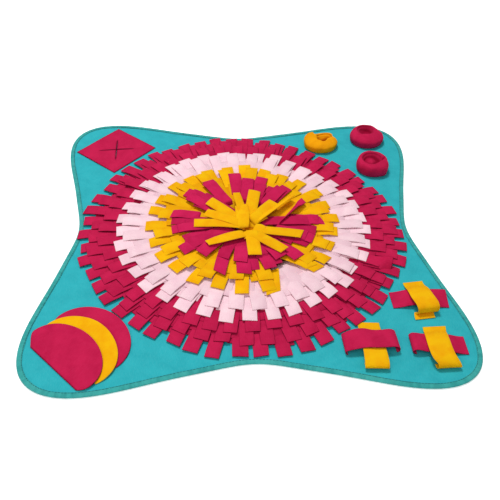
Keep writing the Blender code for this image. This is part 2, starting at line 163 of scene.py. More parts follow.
def knot_table(*rows: tuple) -> Array:
    """Knots of many lines at once, shaped (lines, rows, columns), from rows of numbers and arrays."""
    table = stacked(*(value for row in rows for value in row))
    return table.reshape(*table.shape[:-1], len(rows), -1)


def curve_through(knots: Array, count: int) -> Array:
    """Points on smooth curves through knots.

    Formula: a cubic between each two knots, whose slope at a knot is half the step between its
    neighbours, and at an end the step to its one neighbour.

    Args:
        knots: Knots shaped (knots, columns), or (lines, knots, columns) for many lines at once.
        count: Number of points, evenly spaced in the knots' own count.

    Returns:
        The same with count points in place of the knots.
    """
    slopes = np.gradient(knots, axis=-2)
    at = np.linspace(0.0, knots.shape[-2] - 1.0, count)
    low = np.minimum(at.astype(int), knots.shape[-2] - 2)
    t = (at - low)[:, None]
    return (
        knots[..., low, :] * (1 + 2 * t) * (1 - t) ** 2 + slopes[..., low, :] * t * (1 - t) ** 2
        + knots[..., low + 1, :] * t**2 * (3 - 2 * t) + slopes[..., low + 1, :] * t**2 * (t - 1)
    )


def outline_radius(angle: Array) -> Array:
    """Radius of the mat's edge: a mean and three cosine waves of the angle from one of its points."""
    from_point = angle - np.pi / 4
    return MEAN_RADIUS + sum(height * np.cos(count * from_point) for count, height in OUTLINE_WAVES)


def outline_points(angle: Array, inset: Array | float, step: float = 1e-4) -> Array:
    """Points inside the mat's edge, measured square to it.

    Formula: the edge's point at the angle, plus inset times the edge's direction there turned a
    quarter turn to the left.

    Args:
        angle: Angles round the mat's middle, in radians.
        inset: Distance inside the edge, in metres.
        step: Angle to the point that shows the edge's direction.

    Returns:
        Points with two columns more than angle's shape.
    """
    here, ahead = (heading(at) * outline_radius(at)[..., None] for at in (angle, angle + step))
    return here + left_of(ahead - here) * np.asarray(inset)[..., None]


# ---- Meshes -------------------------------------------------------------------------------------

def normals_of(grid: Array) -> Array:
    """Unit normals of grids of points: the step along the columns crossed with that along the rows."""
    across = np.cross(np.gradient(grid, axis=2), np.gradient(grid, axis=1))
    return across / np.maximum(np.linalg.norm(across, axis=-1, keepdims=True), 1e-12)


@dataclass
class ClothMesh:
    """One mesh in the making: closed grids of points with their cloth map, tone and cut edges."""

    points: list[Array] = field(default_factory=list)
    quads: list[Array] = field(default_factory=list)
    maps: list[Array] = field(default_factory=list)
    tones: list[Array] = field(default_factory=list)
    edges: list[Array] = field(default_factory=list)
    count: int = 0

    def add_tubes(self, points: Array, cloth: Array, tone: Array | float = 0.5, edge: Array | float = 0.0,
                  looped: bool = False) -> None:
        """Add closed sections carried along paths, with capped ends unless they run round a loop.

        Formula: point (i, j) of a tube is its section's point j at station i. Four neighbouring
        points make a face, and a cap joins each point of the section to the one over against it.

        Args:
            points: Points shaped (tubes, stations, sides, 3).
            cloth: Cloth map in metres, shaped (tubes, stations, sides, 2), with one station more
                where the tube is looped.
            tone: A number from -1 to 1 for all, for each tube, or for each of its points.
            edge: 1 at a cut edge and 0 inside, for all or shaped (tubes, stations, sides).
            looped: True where the last station meets the first.
        """
        tubes, stations, sides, _ = points.shape
        cloth = np.concatenate([cloth, cloth[:, :, :1]], axis=2)
        rows = np.arange(stations if looped else stations - 1)[:, None]
        columns = np.arange(sides)[None, :]
        corners = ((0, 0), (0, 1), (1, 1), (1, 0))
        one = np.stack([((rows + down) % stations) * sides + (columns + over) % sides
                        for down, over in corners], -1).reshape(-1, 4)
        one_map = np.stack([cloth[:, rows + down, columns + over] for down, over in corners], 3)
        one_map = one_map.reshape(tubes, -1, 4, 2)
        if not looped:
            pair = np.arange(sides // 2 - 1)
            cap = np.stack([pair, sides - 1 - pair, sides - 2 - pair, pair + 1], -1)
            far = (stations - 1) * sides + cap[:, ::-1]
            flat = cloth[:, :, :sides].reshape(tubes, -1, 2)
            one = np.concatenate([one, cap, far])
            one_map = np.concatenate([one_map, flat[:, cap], flat[:, far]], axis=1)
        starts = np.arange(tubes)[:, None, None] * stations * sides
        quads = (one[None] + starts).reshape(-1, 4)
        quad_map = one_map.reshape(-1, 4, 2)
        flat_points = points.reshape(-1, 3)
        a, b, c, d = (flat_points[quads[:, k]] for k in range(4))
        if np.sum(a * (np.cross(b, c) + np.cross(c, d))) < 0.0:     # the volume, six times over
            quads, quad_map = quads[:, ::-1], quad_map[:, ::-1]
        tone = np.asarray(tone)
        tone = tone[:, None, None] if tone.ndim == 1 else tone
        self.points.append(flat_points)
        self.quads.append(quads + self.count)
        self.maps.append(quad_map)
        self.tones.append(np.broadcast_to(tone, points.shape[:3]).ravel())
        self.edges.append(np.broadcast_to(edge, points.shape[:3]).ravel())
        self.count += len(flat_points)

    def add_sheets(self, middle: Array, cloth: Array, tone: Array | float = 0.5,
                   edge: Array | None = None) -> None:
        """Add sheets of felt with their thickness, rounded at their cut edges.

        Formula: the top is the middle surface plus half the thickness along its normal, the bottom
        is the same the other way, and both draw in at the cut edges.

        Args:
            middle: Middle surfaces shaped (sheets, rows, columns, 3).
            cloth: Cloth map in metres, shaped (sheets, rows, columns, 2).
            tone: A number from -1 to 1 for all or for each sheet.
            edge: 1 at cut edges and 0 inside, shaped (rows, columns), where they aren't all round.
        """
        if edge is None:
            edge = np.ones(middle.shape[1:3])
            edge[1:-1, 1:-1] = 0.0
        edge = np.broadcast_to(edge, middle.shape[:3])
        half = normals_of(middle) * (FELT / 2 * (1.0 - (1.0 - EDGE_THICKNESS) * edge))[..., None]
        self.add_tubes(closed(middle + half, middle - half), closed(cloth, cloth), tone, closed(edge, edge))

    def to_object(self, name: str, material: bpy.types.Material, weld: float = 0.0) -> bpy.types.Object:
        """Make the object.

        Args:
            name: Name of the object.
            material: Its one material.
            weld: Points closer than this become one, which closes a pole; 0 leaves them alone.

        Returns:
            The object, at the origin, in the scene's collection.
        """
        mesh = bpy.data.meshes.new(name)
        mesh.from_pydata(np.concatenate(self.points).tolist(), [], np.concatenate(self.quads).tolist())
        layer = mesh.uv_layers.new(name="cloth")
        layer.data.foreach_set("uv", np.concatenate(self.maps).astype(np.float32).ravel())
        for label, values in (("tone", self.tones), ("edge", self.edges)):
            attribute = mesh.attributes.new(label, "FLOAT", "POINT")
            attribute.data.foreach_set("value", np.concatenate(values).astype(np.float32))
        mesh.shade_smooth()
        mesh.materials.append(material)
        obj = bpy.data.objects.new(name, mesh)
        bpy.context.scene.collection.objects.link(obj)
        if weld > 0.0:
            weld_points(mesh, weld)
        mesh.update()
        return obj


def weld_points(mesh: bpy.types.Mesh, distance: float) -> None:
    """Merge a mesh's doubled points and drop the faces that vanish.

    Args:
        mesh: The mesh to close.
        distance: Points closer than this become one, in metres.
    """
    bm = bmesh.new()
    bm.from_mesh(mesh)
    bmesh.ops.remove_doubles(bm, verts=bm.verts, dist=distance)
    bmesh.ops.dissolve_degenerate(bm, edges=bm.edges, dist=1e-7)
    bm.to_mesh(mesh)
    bm.free()


# ---- Finishes -----------------------------------------------------------------------------------

class Graph:
    """Adds nodes to one node tree, with their values and links given at once."""

    def __init__(self, tree: bpy.types.NodeTree) -> None:
        """Keep the tree that the nodes go into."""
        self.tree = tree

    def feed(self, node: bpy.types.Node, values: dict) -> None:
        """Give inputs of a node, by name or number, their values or the outputs that lead to them.

        Args:
            node: The node.
            values: For each input, a value or another node's output.
        """
        for name, value in values.items():
            if isinstance(value, Socket):
                self.tree.links.new(value, node.inputs[name])
            else:
                node.inputs[name].default_value = value

    def add(self, kind: str, values: dict | None = None, **settings: object) -> bpy.types.Node:
        """Add a node.

        Args:
            kind: Blender's name of the node's type.
            values: For each input, by name or number, a value or another node's output.
            settings: Properties of the node.

        Returns:
            The node.
        """
        made = self.tree.nodes.new(kind)
        for name, value in settings.items():
            setattr(made, name, value)
        self.feed(made, values or {})
        return made

    def noise(self, at: Socket, scale: float, detail: float = 2.0, rough: float = 0.5,
              warp: float = 0.0) -> Socket:
        """Noise from 0 to 1 at a place, with its scale, detail, roughness and distortion."""
        return self.add("ShaderNodeTexNoise", {"Vector": at, "Scale": scale, "Detail": detail,
                                               "Roughness": rough, "Distortion": warp}).outputs[0]

    def drawn_out(self, at: Socket, share: float, turn: float = 0.0) -> Socket:
        """A place turned in radians and shortened to a share along y, so that noise is drawn out there."""
        return self.add("ShaderNodeMapping", {"Vector": at, "Rotation": (0.0, 0.0, turn),
                                              "Scale": (1.0, share, 1.0)}).outputs[0]

    def mix(self, factor: object, first: object, last: object) -> Socket:
        """Mix two colours: the first at factor 0, the last at factor 1."""
        return self.add("ShaderNodeMix", {0: factor, 6: first, 7: last}, data_type="RGBA").outputs[2]

    def spread(self, value: object, low: float, high: float, to_low: float = 0.0,
               to_high: float = 1.0) -> Socket:
        """Stretch the range from low to high onto that from to_low to to_high, held at its ends."""
        return self.add("ShaderNodeMapRange", {0: value, 1: low, 2: high, 3: to_low, 4: to_high}).outputs[0]

    def maths(self, operation: str, first: object, last: object = 0.0) -> Socket:
        """Work out one sum of two values, by Blender's name of it."""
        return self.add("ShaderNodeMath", {0: first, 1: last}, operation=operation).outputs[0]

    def times(self, first: object, last: object) -> Socket:
        """The product of two values."""
        return self.maths("MULTIPLY", first, last)

    def plus(self, *values: object) -> Socket:
        """The sum of two values or more, added up in order."""
        return reduce(partial(self.maths, "ADD"), values)


COLOUR, VALUE, VECTOR = "NodeSocketColor", "NodeSocketFloat", "NodeSocketVector"
GROUP_OUTPUTS = {"Colour": COLOUR, "Roughness": VALUE, "Height": VALUE}


def new_group(name: str, inputs: dict[str, str]) -> tuple[
        Graph, bpy.types.bpy_prop_collection, bpy.types.Node]:
    """Start a shader node group that gives a colour, a roughness and a height.

    Args:
        name: Name of the group.
        inputs: Type of each input socket, by its name.

    Returns:
        The group's graph, the sockets that it is given and its output node.
    """
    tree = bpy.data.node_groups.new(name, "ShaderNodeTree")
    for way, sockets in (("INPUT", inputs), ("OUTPUT", GROUP_OUTPUTS)):
        for label, kind in sockets.items():
            tree.interface.new_socket(name=label, in_out=way, socket_type=kind)
    graph = Graph(tree)
    return graph, graph.add("NodeGroupInput").outputs, graph.add("NodeGroupOutput")


@cache
def felt_grain() -> bpy.types.NodeTree:
    """The group for needled felt: matted fibres lying two ways, cloudy dye and cut edges.

    Formula: the colour goes to the deep one where a slow noise is high, towards the pale one along
    the tops of two stretched noises, to the cut one at cut edges, which on the dark felts is painted
    shade, and brighter or darker with the tone, which below 0 draws it to the deep one too as painted
    shade. The height is the sum of both stretched noises, a fine noise and a slow one.

    Returns:
        The node group.
    """
    graph, given, made = new_group("felt_grain", {
        "Cloth": VECTOR, "Colour": COLOUR, "Deep": COLOUR, "Pale": COLOUR, "Tone": VALUE, "Edge": VALUE,
        "Cloud": VALUE, "Fuzz": VALUE, "Rim": VALUE, "Cut": COLOUR,
    })
    cloth = given["Cloth"]
    one_way = graph.noise(graph.drawn_out(cloth, 0.16, 0.55), 950.0, 3.0, 0.62, 0.7)
    other_way = graph.noise(graph.drawn_out(cloth, 0.16, -0.75), 1150.0, 3.0, 0.62, 0.7)
    fine = graph.noise(cloth, 1900.0)
    slow = graph.noise(cloth, 38.0, 4.0, 0.55, 0.4)
    matted = graph.times(graph.plus(one_way, other_way), 0.5)
    cloudy = graph.times(graph.spread(slow, 0.36, 0.68), given["Cloud"])
    fuzz = graph.times(graph.spread(matted, 0.44, 0.66), given["Fuzz"])
    rim = graph.times(graph.maths("POWER", given["Edge"], 1.6), given["Rim"])
    colour = graph.mix(cloudy, given["Colour"], given["Deep"])
    colour = graph.mix(fuzz, colour, given["Pale"])
    # At cut edges the colour goes to the cut one, which on the dark felts is painted shade.
    colour = graph.mix(rim, colour, given["Cut"])
    # Painted shade: a tone below 0 draws the colour to the deep one and darkens it; above 0 the tone differs
    # from piece to piece.
    colour = graph.mix(graph.spread(given["Tone"], 0.0, -1.0), colour, given["Deep"])
    bright = graph.spread(given["Tone"], -1.0, 1.0, 0.82, 1.05)
    graph.feed(made, {
        "Colour": graph.add("ShaderNodeHueSaturation", {"Value": bright, "Color": colour}).outputs[0],
        "Roughness": graph.spread(matted, 0.3, 0.7, 0.98, 0.84),
        "Height": graph.plus(matted, graph.times(fine, 0.35), graph.times(slow, 0.9)),
    })
    return graph.tree


@cache
def woven_tape() -> bpy.types.NodeTree:
    """The group for the binding tape: fine ribs across it, threads along it, and soft gathers.

    Formula: the height is one sine of the distance along the tape and one of the distance across,
    with a slow noise drawn out across the tape for the gathers, whose hollows are darkened with
    painted shade, and a fine noise for lint.

    Returns:
        The node group.
    """
    graph, given, made = new_group("woven_tape", {
        "Cloth": VECTOR, "Colour": COLOUR, "Deep": COLOUR, "Pale": COLOUR, "Rib": VALUE, "Thread": VALUE,
    })
    cloth = given["Cloth"]
    parts = graph.add("ShaderNodeSeparateXYZ", {0: cloth}).outputs
    ribs = graph.maths("SINE", graph.times(parts[0], given["Rib"]))
    threads = graph.maths("SINE", graph.times(parts[1], given["Thread"]))
    gathers = graph.noise(graph.drawn_out(cloth, 0.3), 140.0, 3.0)
    dye = graph.noise(cloth, 26.0)
    lint = graph.noise(cloth, 1500.0)
    # Painted shade: the colour goes to the deep one in the gathers' hollows.
    colour = graph.mix(graph.spread(gathers, 0.62, 0.38, 0.0, 0.75), given["Colour"], given["Deep"])
    colour = graph.mix(graph.spread(dye, 0.4, 0.7, 0.0, 0.35), colour, given["Pale"])
    colour = graph.mix(graph.spread(ribs, 0.2, 1.0, 0.0, 0.28), colour, given["Pale"])
    graph.feed(made, {
        "Colour": colour,
        "Roughness": graph.spread(gathers, 0.3, 0.7, 0.88, 0.74),
        "Height": graph.plus(graph.times(ribs, 0.3), graph.times(threads, 0.16), graph.times(gathers, 2.2),
                             graph.times(lint, 0.3)),
    })
    return graph.tree


def rgba(colour: Colour) -> tuple[float, float, float, float]:
    """A colour with full cover."""
    return (*colour, 1.0)


@dataclass(frozen=True)
class Finish:
    """A dyed cloth and the slot that it finishes. Colours are linear."""

    name: str
    slot: Slot
    colour: Colour
    deep: Colour
    pale: Colour

    def dress(self, group: bpy.types.NodeTree, values: dict, points: tuple[str, ...], bump: dict,
              surface: dict) -> bpy.types.Material:
        """Make a material whose group reads the cloth map and drives colour, roughness and bump.

        Args:
            group: Node group of the cloth.
            values: What its inputs are given besides the cloth map and the three colours.
            points: Inputs that read the piece's attribute of the same name.
            bump: Strength and distance of the bump.
            surface: Values of the shader's own inputs.

        Returns:
            The material.
        """
        made = bpy.data.materials.new(self.name)
        made.use_nodes = True
        graph = Graph(made.node_tree)
        given = {label: graph.add("ShaderNodeAttribute", attribute_name=label.lower()).outputs["Fac"]
                 for label in points}
        given["Cloth"] = graph.add("ShaderNodeUVMap", uv_map="cloth").outputs[0]
        for label, colour in (("Colour", self.colour), ("Deep", self.deep), ("Pale", self.pale)):
            given[label] = rgba(colour)
        look = graph.add("ShaderNodeGroup", {**given, **values}, node_tree=group).outputs
        relief = graph.add("ShaderNodeBump", {**bump, "Height": look["Height"]}).outputs[0]
        graph.feed(made.node_tree.nodes["Principled BSDF"], {
            "Base Color": look["Colour"], "Roughness": look["Roughness"], "Normal": relief, **surface})
        return made


@dataclass(frozen=True)
class FeltFinish(Finish):
    """Dyed felt. Sizes in metres."""

    cloud: float = 0.6
    fuzz: float = 0.3
    rim: float = 0.45
    cut: Colour | None = None           # colour of its cut edges, or None for the pale one; a dark one paints shade along the edges
    sheen: float = 0.22
    gloss: float = 0.12
    bump: float = 0.22 * MM

    @cache
    def material(self) -> bpy.types.Material:
        """Make the felt's material once, which also reads the tone and the cut edges of its piece.

        Returns:
            The material.
        """
        return self.dress(
            felt_grain(),
            {"Cloud": self.cloud, "Fuzz": self.fuzz, "Rim": self.rim, "Cut": rgba(self.cut or self.pale)},
            ("Tone", "Edge"), {"Strength": 0.55, "Distance": self.bump},
            {"Specular IOR Level": self.gloss, "Sheen Weight": self.sheen, "Sheen Roughness": 0.55,
             "Sheen Tint": rgba(self.pale)},
        )


@dataclass(frozen=True)
class TapeFinish(Finish):
    """Woven binding tape or sewing thread. Rib and thread counts a metre, sizes in metres."""

    ribs: float
    threads: float
    bump: float

    @cache
    def material(self) -> bpy.types.Material:
        """Make the tape's material once.

        Returns:
            The material.
        """
        return self.dress(
            woven_tape(), {"Rib": 2 * math.pi * self.ribs, "Thread": 2 * math.pi * self.threads},
            (), {"Strength": 0.6, "Distance": self.bump},
            {"Specular IOR Level": 0.25, "Sheen Weight": 0.07, "Sheen Roughness": 0.4},
        )


PANEL_FELT = FeltFinish("panel_felt", Slot.PANEL, (0.026, 0.425, 0.480), (0.014, 0.325, 0.380),
                        (0.140, 0.600, 0.640), cloud=0.50, fuzz=0.16, sheen=0.12)
# The crimson and magenta felts' dark cut colours are painted shade along every cut edge, for the shadow lines
# under tabs and flaps.
CRIMSON_FELT = FeltFinish("crimson_dyed_felt", Slot.CRIMSON, (0.545, 0.012, 0.071), (0.385, 0.004, 0.042),
                          (0.760, 0.060, 0.190), cloud=0.55, fuzz=0.12, rim=0.90, cut=(0.110, 0.001, 0.016),
                          sheen=0.09, gloss=0.05)
MAGENTA_FELT = FeltFinish("magenta_dyed_felt", Slot.MAGENTA, (0.590, 0.013, 0.088), (0.420, 0.005, 0.052),
                          (0.800, 0.070, 0.230), cloud=0.55, fuzz=0.12, rim=0.80, cut=(0.130, 0.001, 0.022),
                          sheen=0.09, gloss=0.05)
PINK_FELT = FeltFinish("pink_dyed_felt", Slot.PINK, (0.920, 0.650, 0.705), (0.810, 0.470, 0.570),
                       (0.960, 0.790, 0.830), cloud=0.60, fuzz=0.30, rim=0.45)
YELLOW_FELT = FeltFinish("yellow_dyed_felt", Slot.YELLOW, (0.880, 0.475, 0.003), (0.800, 0.250, 0.001),
                         (0.960, 0.590, 0.030), cloud=0.50, fuzz=0.12, rim=0.55, sheen=0.04, gloss=0.04)
# A shaded copy of the yellow felt for the yellow cup: its orange colour and its dark red-brown deep one are
# painted shade.
SHADED_YELLOW_FELT = FeltFinish("yellow_felt_painted_shade", Slot.YELLOW, (0.900, 0.375, 0.003), (0.560, 0.075, 0.001),
                         (0.960, 0.560, 0.030), cloud=0.25, fuzz=0.12, rim=0.70, sheen=0.04, gloss=0.04)
BINDING_TAPE = TapeFinish("teal_tape", Slot.TAPE, (0.032, 0.372, 0.352), (0.014, 0.250, 0.245),
                          (0.085, 0.470, 0.430), ribs=620.0, threads=900.0, bump=0.45 * MM)
# The thread's dark colour is partly the stitches' own and partly painted shade of the seam along the tape's
# inner edge.
THREAD_AND_SEAM_SHADE = TapeFinish("navy_thread_and_seam_shade", Slot.TAPE, (0.004, 0.065, 0.095), (0.002, 0.035, 0.055),
                           (0.012, 0.110, 0.140), ribs=900.0, threads=500.0, bump=0.1 * MM)


def seat(cloth: ClothMesh, name: str, finish: FeltFinish | TapeFinish, *nodes: str,
         weld: float = 0.0) -> bpy.types.Object:
    """Make a piece and put it on the mat's body, in place of the nodes that it stands for.

    Args:
        cloth: The piece's mesh.
        name: Name of the piece.
        finish: Its finish.
        nodes: Names of the nodes that it replaces.
        weld: Points closer than this become one.

    Returns:
        The piece.
    """
    obj = cloth.to_object(name, finish.material(), weld)
    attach(obj, BODY)
    if nodes:
        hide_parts(*nodes)
    LOG.info("%s: %d faces, for %s", obj.name, len(obj.data.polygons), ", ".join(nodes) or "detail")
    return obj


@dataclass
class FeltPiece:
    """A piece of felt that stands for one node of the frame, with its mesh in the making."""

    node: str
    finish: FeltFinish
    mesh: ClothMesh = field(default_factory=ClothMesh, kw_only=True)

    def seated(self, weld: float = 0.0) -> bpy.types.Object:
        """Make the piece from its mesh and put it in its node's place."""
        return seat(self.mesh, self.node + "_felt", self.finish, self.node, weld=weld)


# ---- Panel and binding --------------------------------------------------------------------------

@dataclass
class Panel:
    """The teal sheet that everything is sewn to. Sizes in metres."""

    side: float = 0.750                 # of the square that it is cut from
    thickness: float = 3.0 * MM
    margin_bottom: float = 1.3 * MM
    margin_top: float = 2.5 * MM
    binding: float = 9.0 * MM           # width of the tape that covers the margin
    cloth: float = 1.5 * MM             # from the mat's edge to the panel's own edge
    pull: float = 7.0 * MM              # how far inside the tape the seam draws the cloth down
    sink: float = 0.75 * MM             # and by how much
    wave: float = 0.22 * MM
    pucker: float = 0.30 * MM
    steps: int = 141

    def build(self) -> bpy.types.Object:
        """Make the panel: a square grid drawn out to the mat's outline, in two faces.

        Formula: a grid point's larger coordinate is its share of the way to the edge, and its angle
        is kept. The top sinks where the seam pulls it, ripples slowly elsewhere, and both faces
        close to the margin's thickness under the tape.

        Returns:
            The panel, seated.
        """
        quarter = np.pi / 2 * 0.9       # how much of a sine crowds the grid's lines to the edge
        across = np.sin(np.linspace(-1.0, 1.0, self.steps) * quarter) / math.sin(quarter)
        u, v = np.meshgrid(across, across)
        share = np.maximum(np.abs(u), np.abs(v))
        angle = np.arctan2(v, u)
        edge_point = outline_points(angle, self.cloth)
        flat = edge_point * share[..., None]
        inset = np.linalg.norm(edge_point - flat, axis=-1) + self.cloth
        under_tape = 1.0 - smooth((inset - self.binding - 0.2 * MM) / (1.6 * MM))
        x, y = flat[..., 0], flat[..., 1]
        ripple = self.wave * (np.sin(31 * x + 17 * y + 0.6) + np.sin(23 * y - 29 * x + 2.1)) / 2
        pucker = self.pucker * hump(inset, self.binding + 5 * MM, 5 * MM) * np.sin(
            150 * angle * share + 2.0 * np.sin(9 * angle))
        pull = self.sink * hump(inset, self.binding + 0.8 * MM, self.pull / 2)
        top = self.thickness + (ripple - 0.2 * MM + pucker * 0.5 - pull) * (1 - under_tape)
        top = top * (1 - under_tape) + self.margin_top * under_tape
        points = closed(raised(flat, top)[None], raised(flat, self.margin_bottom * under_tape)[None])
        mesh = ClothMesh()
        mesh.add_tubes(points, points[..., :2])
        panel = seat(mesh, "panel_cloth", PANEL_FELT, "base_panel")
        return panel


@dataclass
class Binding:
    """The tape folded over the panel's edge, and the line of stitches that holds it. In metres."""

    width: float = 9.0 * MM
    height: float = 3.8 * MM
    cloth: float = 1.0 * MM
    nose: float = 2.4 * MM              # how far in its rounded outer edge starts
    waver: float = 0.35 * MM            # play of the tape's inner edge
    gather: float = 0.16 * MM           # height of the small gathers
    groove: float = 0.28 * MM           # how deep the stitches draw the tape in
    stations: int = 900
    stitch_inset: float = 8.1 * MM
    stitch_pitch: float = 5.2 * MM
    stitch_length: float = 4.0 * MM
    stitch_width: float = 0.75 * MM
    stitch_sway: float = 0.18 * MM

    def lengths(self, angle: Array) -> Array:
        """Distance round the mat's edge to each of a row of angles in radians."""
        return way_along(outline_points(angle, 0.0))

    def even_angles(self, count: int) -> Array:
        """Angles that split the mat's edge into equal lengths, the last of them back at the first."""
        length = self.lengths(ALL_ROUND)
        return np.interp(np.linspace(0.0, length[-1], count + 1), length, ALL_ROUND)

    def build(self) -> list[bpy.types.Object]:
        """Make the tape and its stitches.

        Formula: the tape's section runs under the panel, round the mat's edge in half an ellipse
        and back over the top, and returns inside itself one cloth thickness in. Slow and quick
        sines of the distance round the edge move its inner edge and its top.

        Returns:
            The tape and the stitches, seated.
        """
        angles = self.even_angles(self.stations)
        length = self.lengths(angles)
        half = self.height / 2
        arc = np.linspace(-np.pi / 2, np.pi / 2, 9)[1:-1]
        outer = [(self.width, 0.0), (self.width * 0.55, 0.0), (self.nose, 0.0)]
        outer += [(self.nose * (1 - math.cos(a)), half + half * math.sin(a)) for a in arc]
        outer += [(self.nose, self.height), (self.width * 0.55, self.height),
                  (self.width - 0.5 * MM, self.height), (self.width, self.height - 0.35 * MM)]
        inner = [(max(inset, self.cloth), min(max(z, self.cloth), self.height - self.cloth))
                 for inset, z in reversed(outer)]
        section = np.array(outer + inner)
        inset, height = section.T
        around = length[:-1, None] / length[-1] * 2 * np.pi
        top_share = smooth((height - half) / half)
        edge_share = smooth((inset - 0.4 * self.width) / (0.6 * self.width))
        play = self.waver * (0.6 * np.sin(37 * around + 1.0)
                             + 0.4 * np.sin(91 * around + 2.0 * np.sin(5 * around)))
        crimp = self.gather * (np.sin(173 * around + 2.5 * np.sin(7 * around)) + 0.6 * np.sin(61 * around))
        groove = self.groove * hump(inset, self.stitch_inset, 0.9 * MM)
        heights = np.maximum(height + (crimp * (1 - 0.5 * edge_share) - groove) * top_share, 0.0)
        flat = outline_points(np.repeat(angles[:-1, None], len(section), 1), inset + play * edge_share)
        mesh = ClothMesh()
        mesh.add_tubes(raised(flat, heights)[None], stacked(length[:, None], way_along(section))[None],
                       looped=True)
        tape = seat(mesh, "binding_tape_edge", BINDING_TAPE, "edge_binding")
        return [tape, self.stitches()]

    def stitches(self) -> bpy.types.Object:
        """Make the line of stitches: short lengths of thread that dive in at both ends.

        Formula: along a stitch its height is that of half a sine, its width swells the same way,
        and its section is a ring of six points.

        Returns:
            The stitches, seated.
        """
        count = int(self.lengths(ALL_ROUND)[-1] / self.stitch_pitch)
        angles = self.even_angles(count)[:-1, None]
        along = np.linspace(-1.0, 1.0, 5)
        turn = angles + self.stitch_length / 2 * along / outline_radius(angles)
        inset = self.stitch_inset + self.stitch_sway * uneven(np.arange(count), 3.0)[:, None]
        middle = outline_points(turn, inset)
        side = left_of(outline_points(turn + 1e-3, inset) - middle)
        swell = np.cos(along * np.pi / 2 * 0.92)[:, None]
        ring = np.arange(6) * np.pi / 3
        radius = self.stitch_width / 2 * (0.45 + 0.55 * swell)
        flat = middle[:, :, None] + side[:, :, None] * (np.cos(ring) * radius)[..., None]
        height = self.height - 0.22 * MM + 0.30 * MM * (swell - 0.4) + 0.8 * np.sin(ring) * radius
        cloth = stacked(along[:, None] * self.stitch_length / 2, ring * self.stitch_width / 2)
        mesh = ClothMesh()
        mesh.add_tubes(raised(flat, height), np.broadcast_to(cloth, (*flat.shape[:3], 2)))
        # Their dark colour also paints the seam's shade.
        return seat(mesh, "binding_stitches", THREAD_AND_SEAM_SHADE)


# ---- Flower of cut fringe -----------------------------------------------------------------------

@dataclass
class StripShape:
    """How the tabs of the fringe are cut and lie. Sizes in metres, angles in radians."""

    root_band_top: float = 5.2 * MM
    droop_length: float = 15.0 * MM
    droop: float = 1.0 * MM
    bend_out: float = 8.0 * MM
    shoulder: float = 0.84
    least_shoulder: float = 1.6 * MM
    length_play: float = 5.0 * MM
    lean_play: float = 3.0 * MM
    sway: float = 1.1                   # more of that lean than the solids have, as a share of it
    # Where the tabs are cut a little shorter: round which angle, how far to each side, what share.
    short_sides: tuple[tuple[float, float, float], ...] = (
        (math.radians(-40.0), math.radians(28.0), 0.025),
        (math.radians(46.0), math.radians(22.0), 0.035),
    )
    front_angle: float = math.radians(-90.0)        # where the rows end in even steps
    front_spread: float = math.radians(50.0)
    twist: float = math.radians(3.2)
    cupping: float = 0.5 * MM
    skew: float = 1.3 * MM              # how far a cut end is out of square at its corners
    curl: float = 1.1 * MM              # how much further than the solid's a tab's end turns down
    shade: float = 0.0                  # how much darker the strips that lie under are coloured: painted shade for the gaps between layers
    columns: int = 5


SHAPE = StripShape()
STATIONS = 12                           # along a rounded line


def rounded_line(knots: Array, cuts: tuple[float, float] = (2.0 * MM, 4.5 * MM)) -> Array:
    """Stations along bent lines of four knots, with both bends rounded off.

    Formula: each bend is a parabola from a cut's length before it to a cut's length after it, and
    the stretches between stay straight. The last station but one lies close to the end.

    Args:
        knots: Knots shaped (lines, 4, columns).
        cuts: Lengths cut off at the two bends, in metres.

    Returns:
        Points shaped (lines, STATIONS, columns).
    """
    steps = np.diff(knots, axis=1)
    ways = steps / np.linalg.norm(steps[..., :2], axis=-1, keepdims=True)
    first, last = knots[:, 1], knots[:, 2]
    before_1, after_1 = first - ways[:, 0] * cuts[0], first + ways[:, 1] * cuts[0]
    before_2, after_2 = last - ways[:, 1] * cuts[1], last + ways[:, 2] * cuts[1]

    def bend(start: Array, corner: Array, stop: Array, share: float) -> Array:
        """A point of the parabola from start to stop that heads for the corner at both ends."""
        return start * (1 - share) ** 2 + corner * 2 * share * (1 - share) + stop * share**2

    end = knots[:, 3]
    return np.stack([
        knots[:, 0], before_1, bend(before_1, first, after_1, 0.5), after_1,
        after_1 + (before_2 - after_1) / 3, after_1 + (before_2 - after_1) * 2 / 3,
        before_2, bend(before_2, last, after_2, 0.33), bend(before_2, last, after_2, 0.67), after_2,
        end - ways[:, 2] * 0.6 * MM, end,
    ], axis=1)


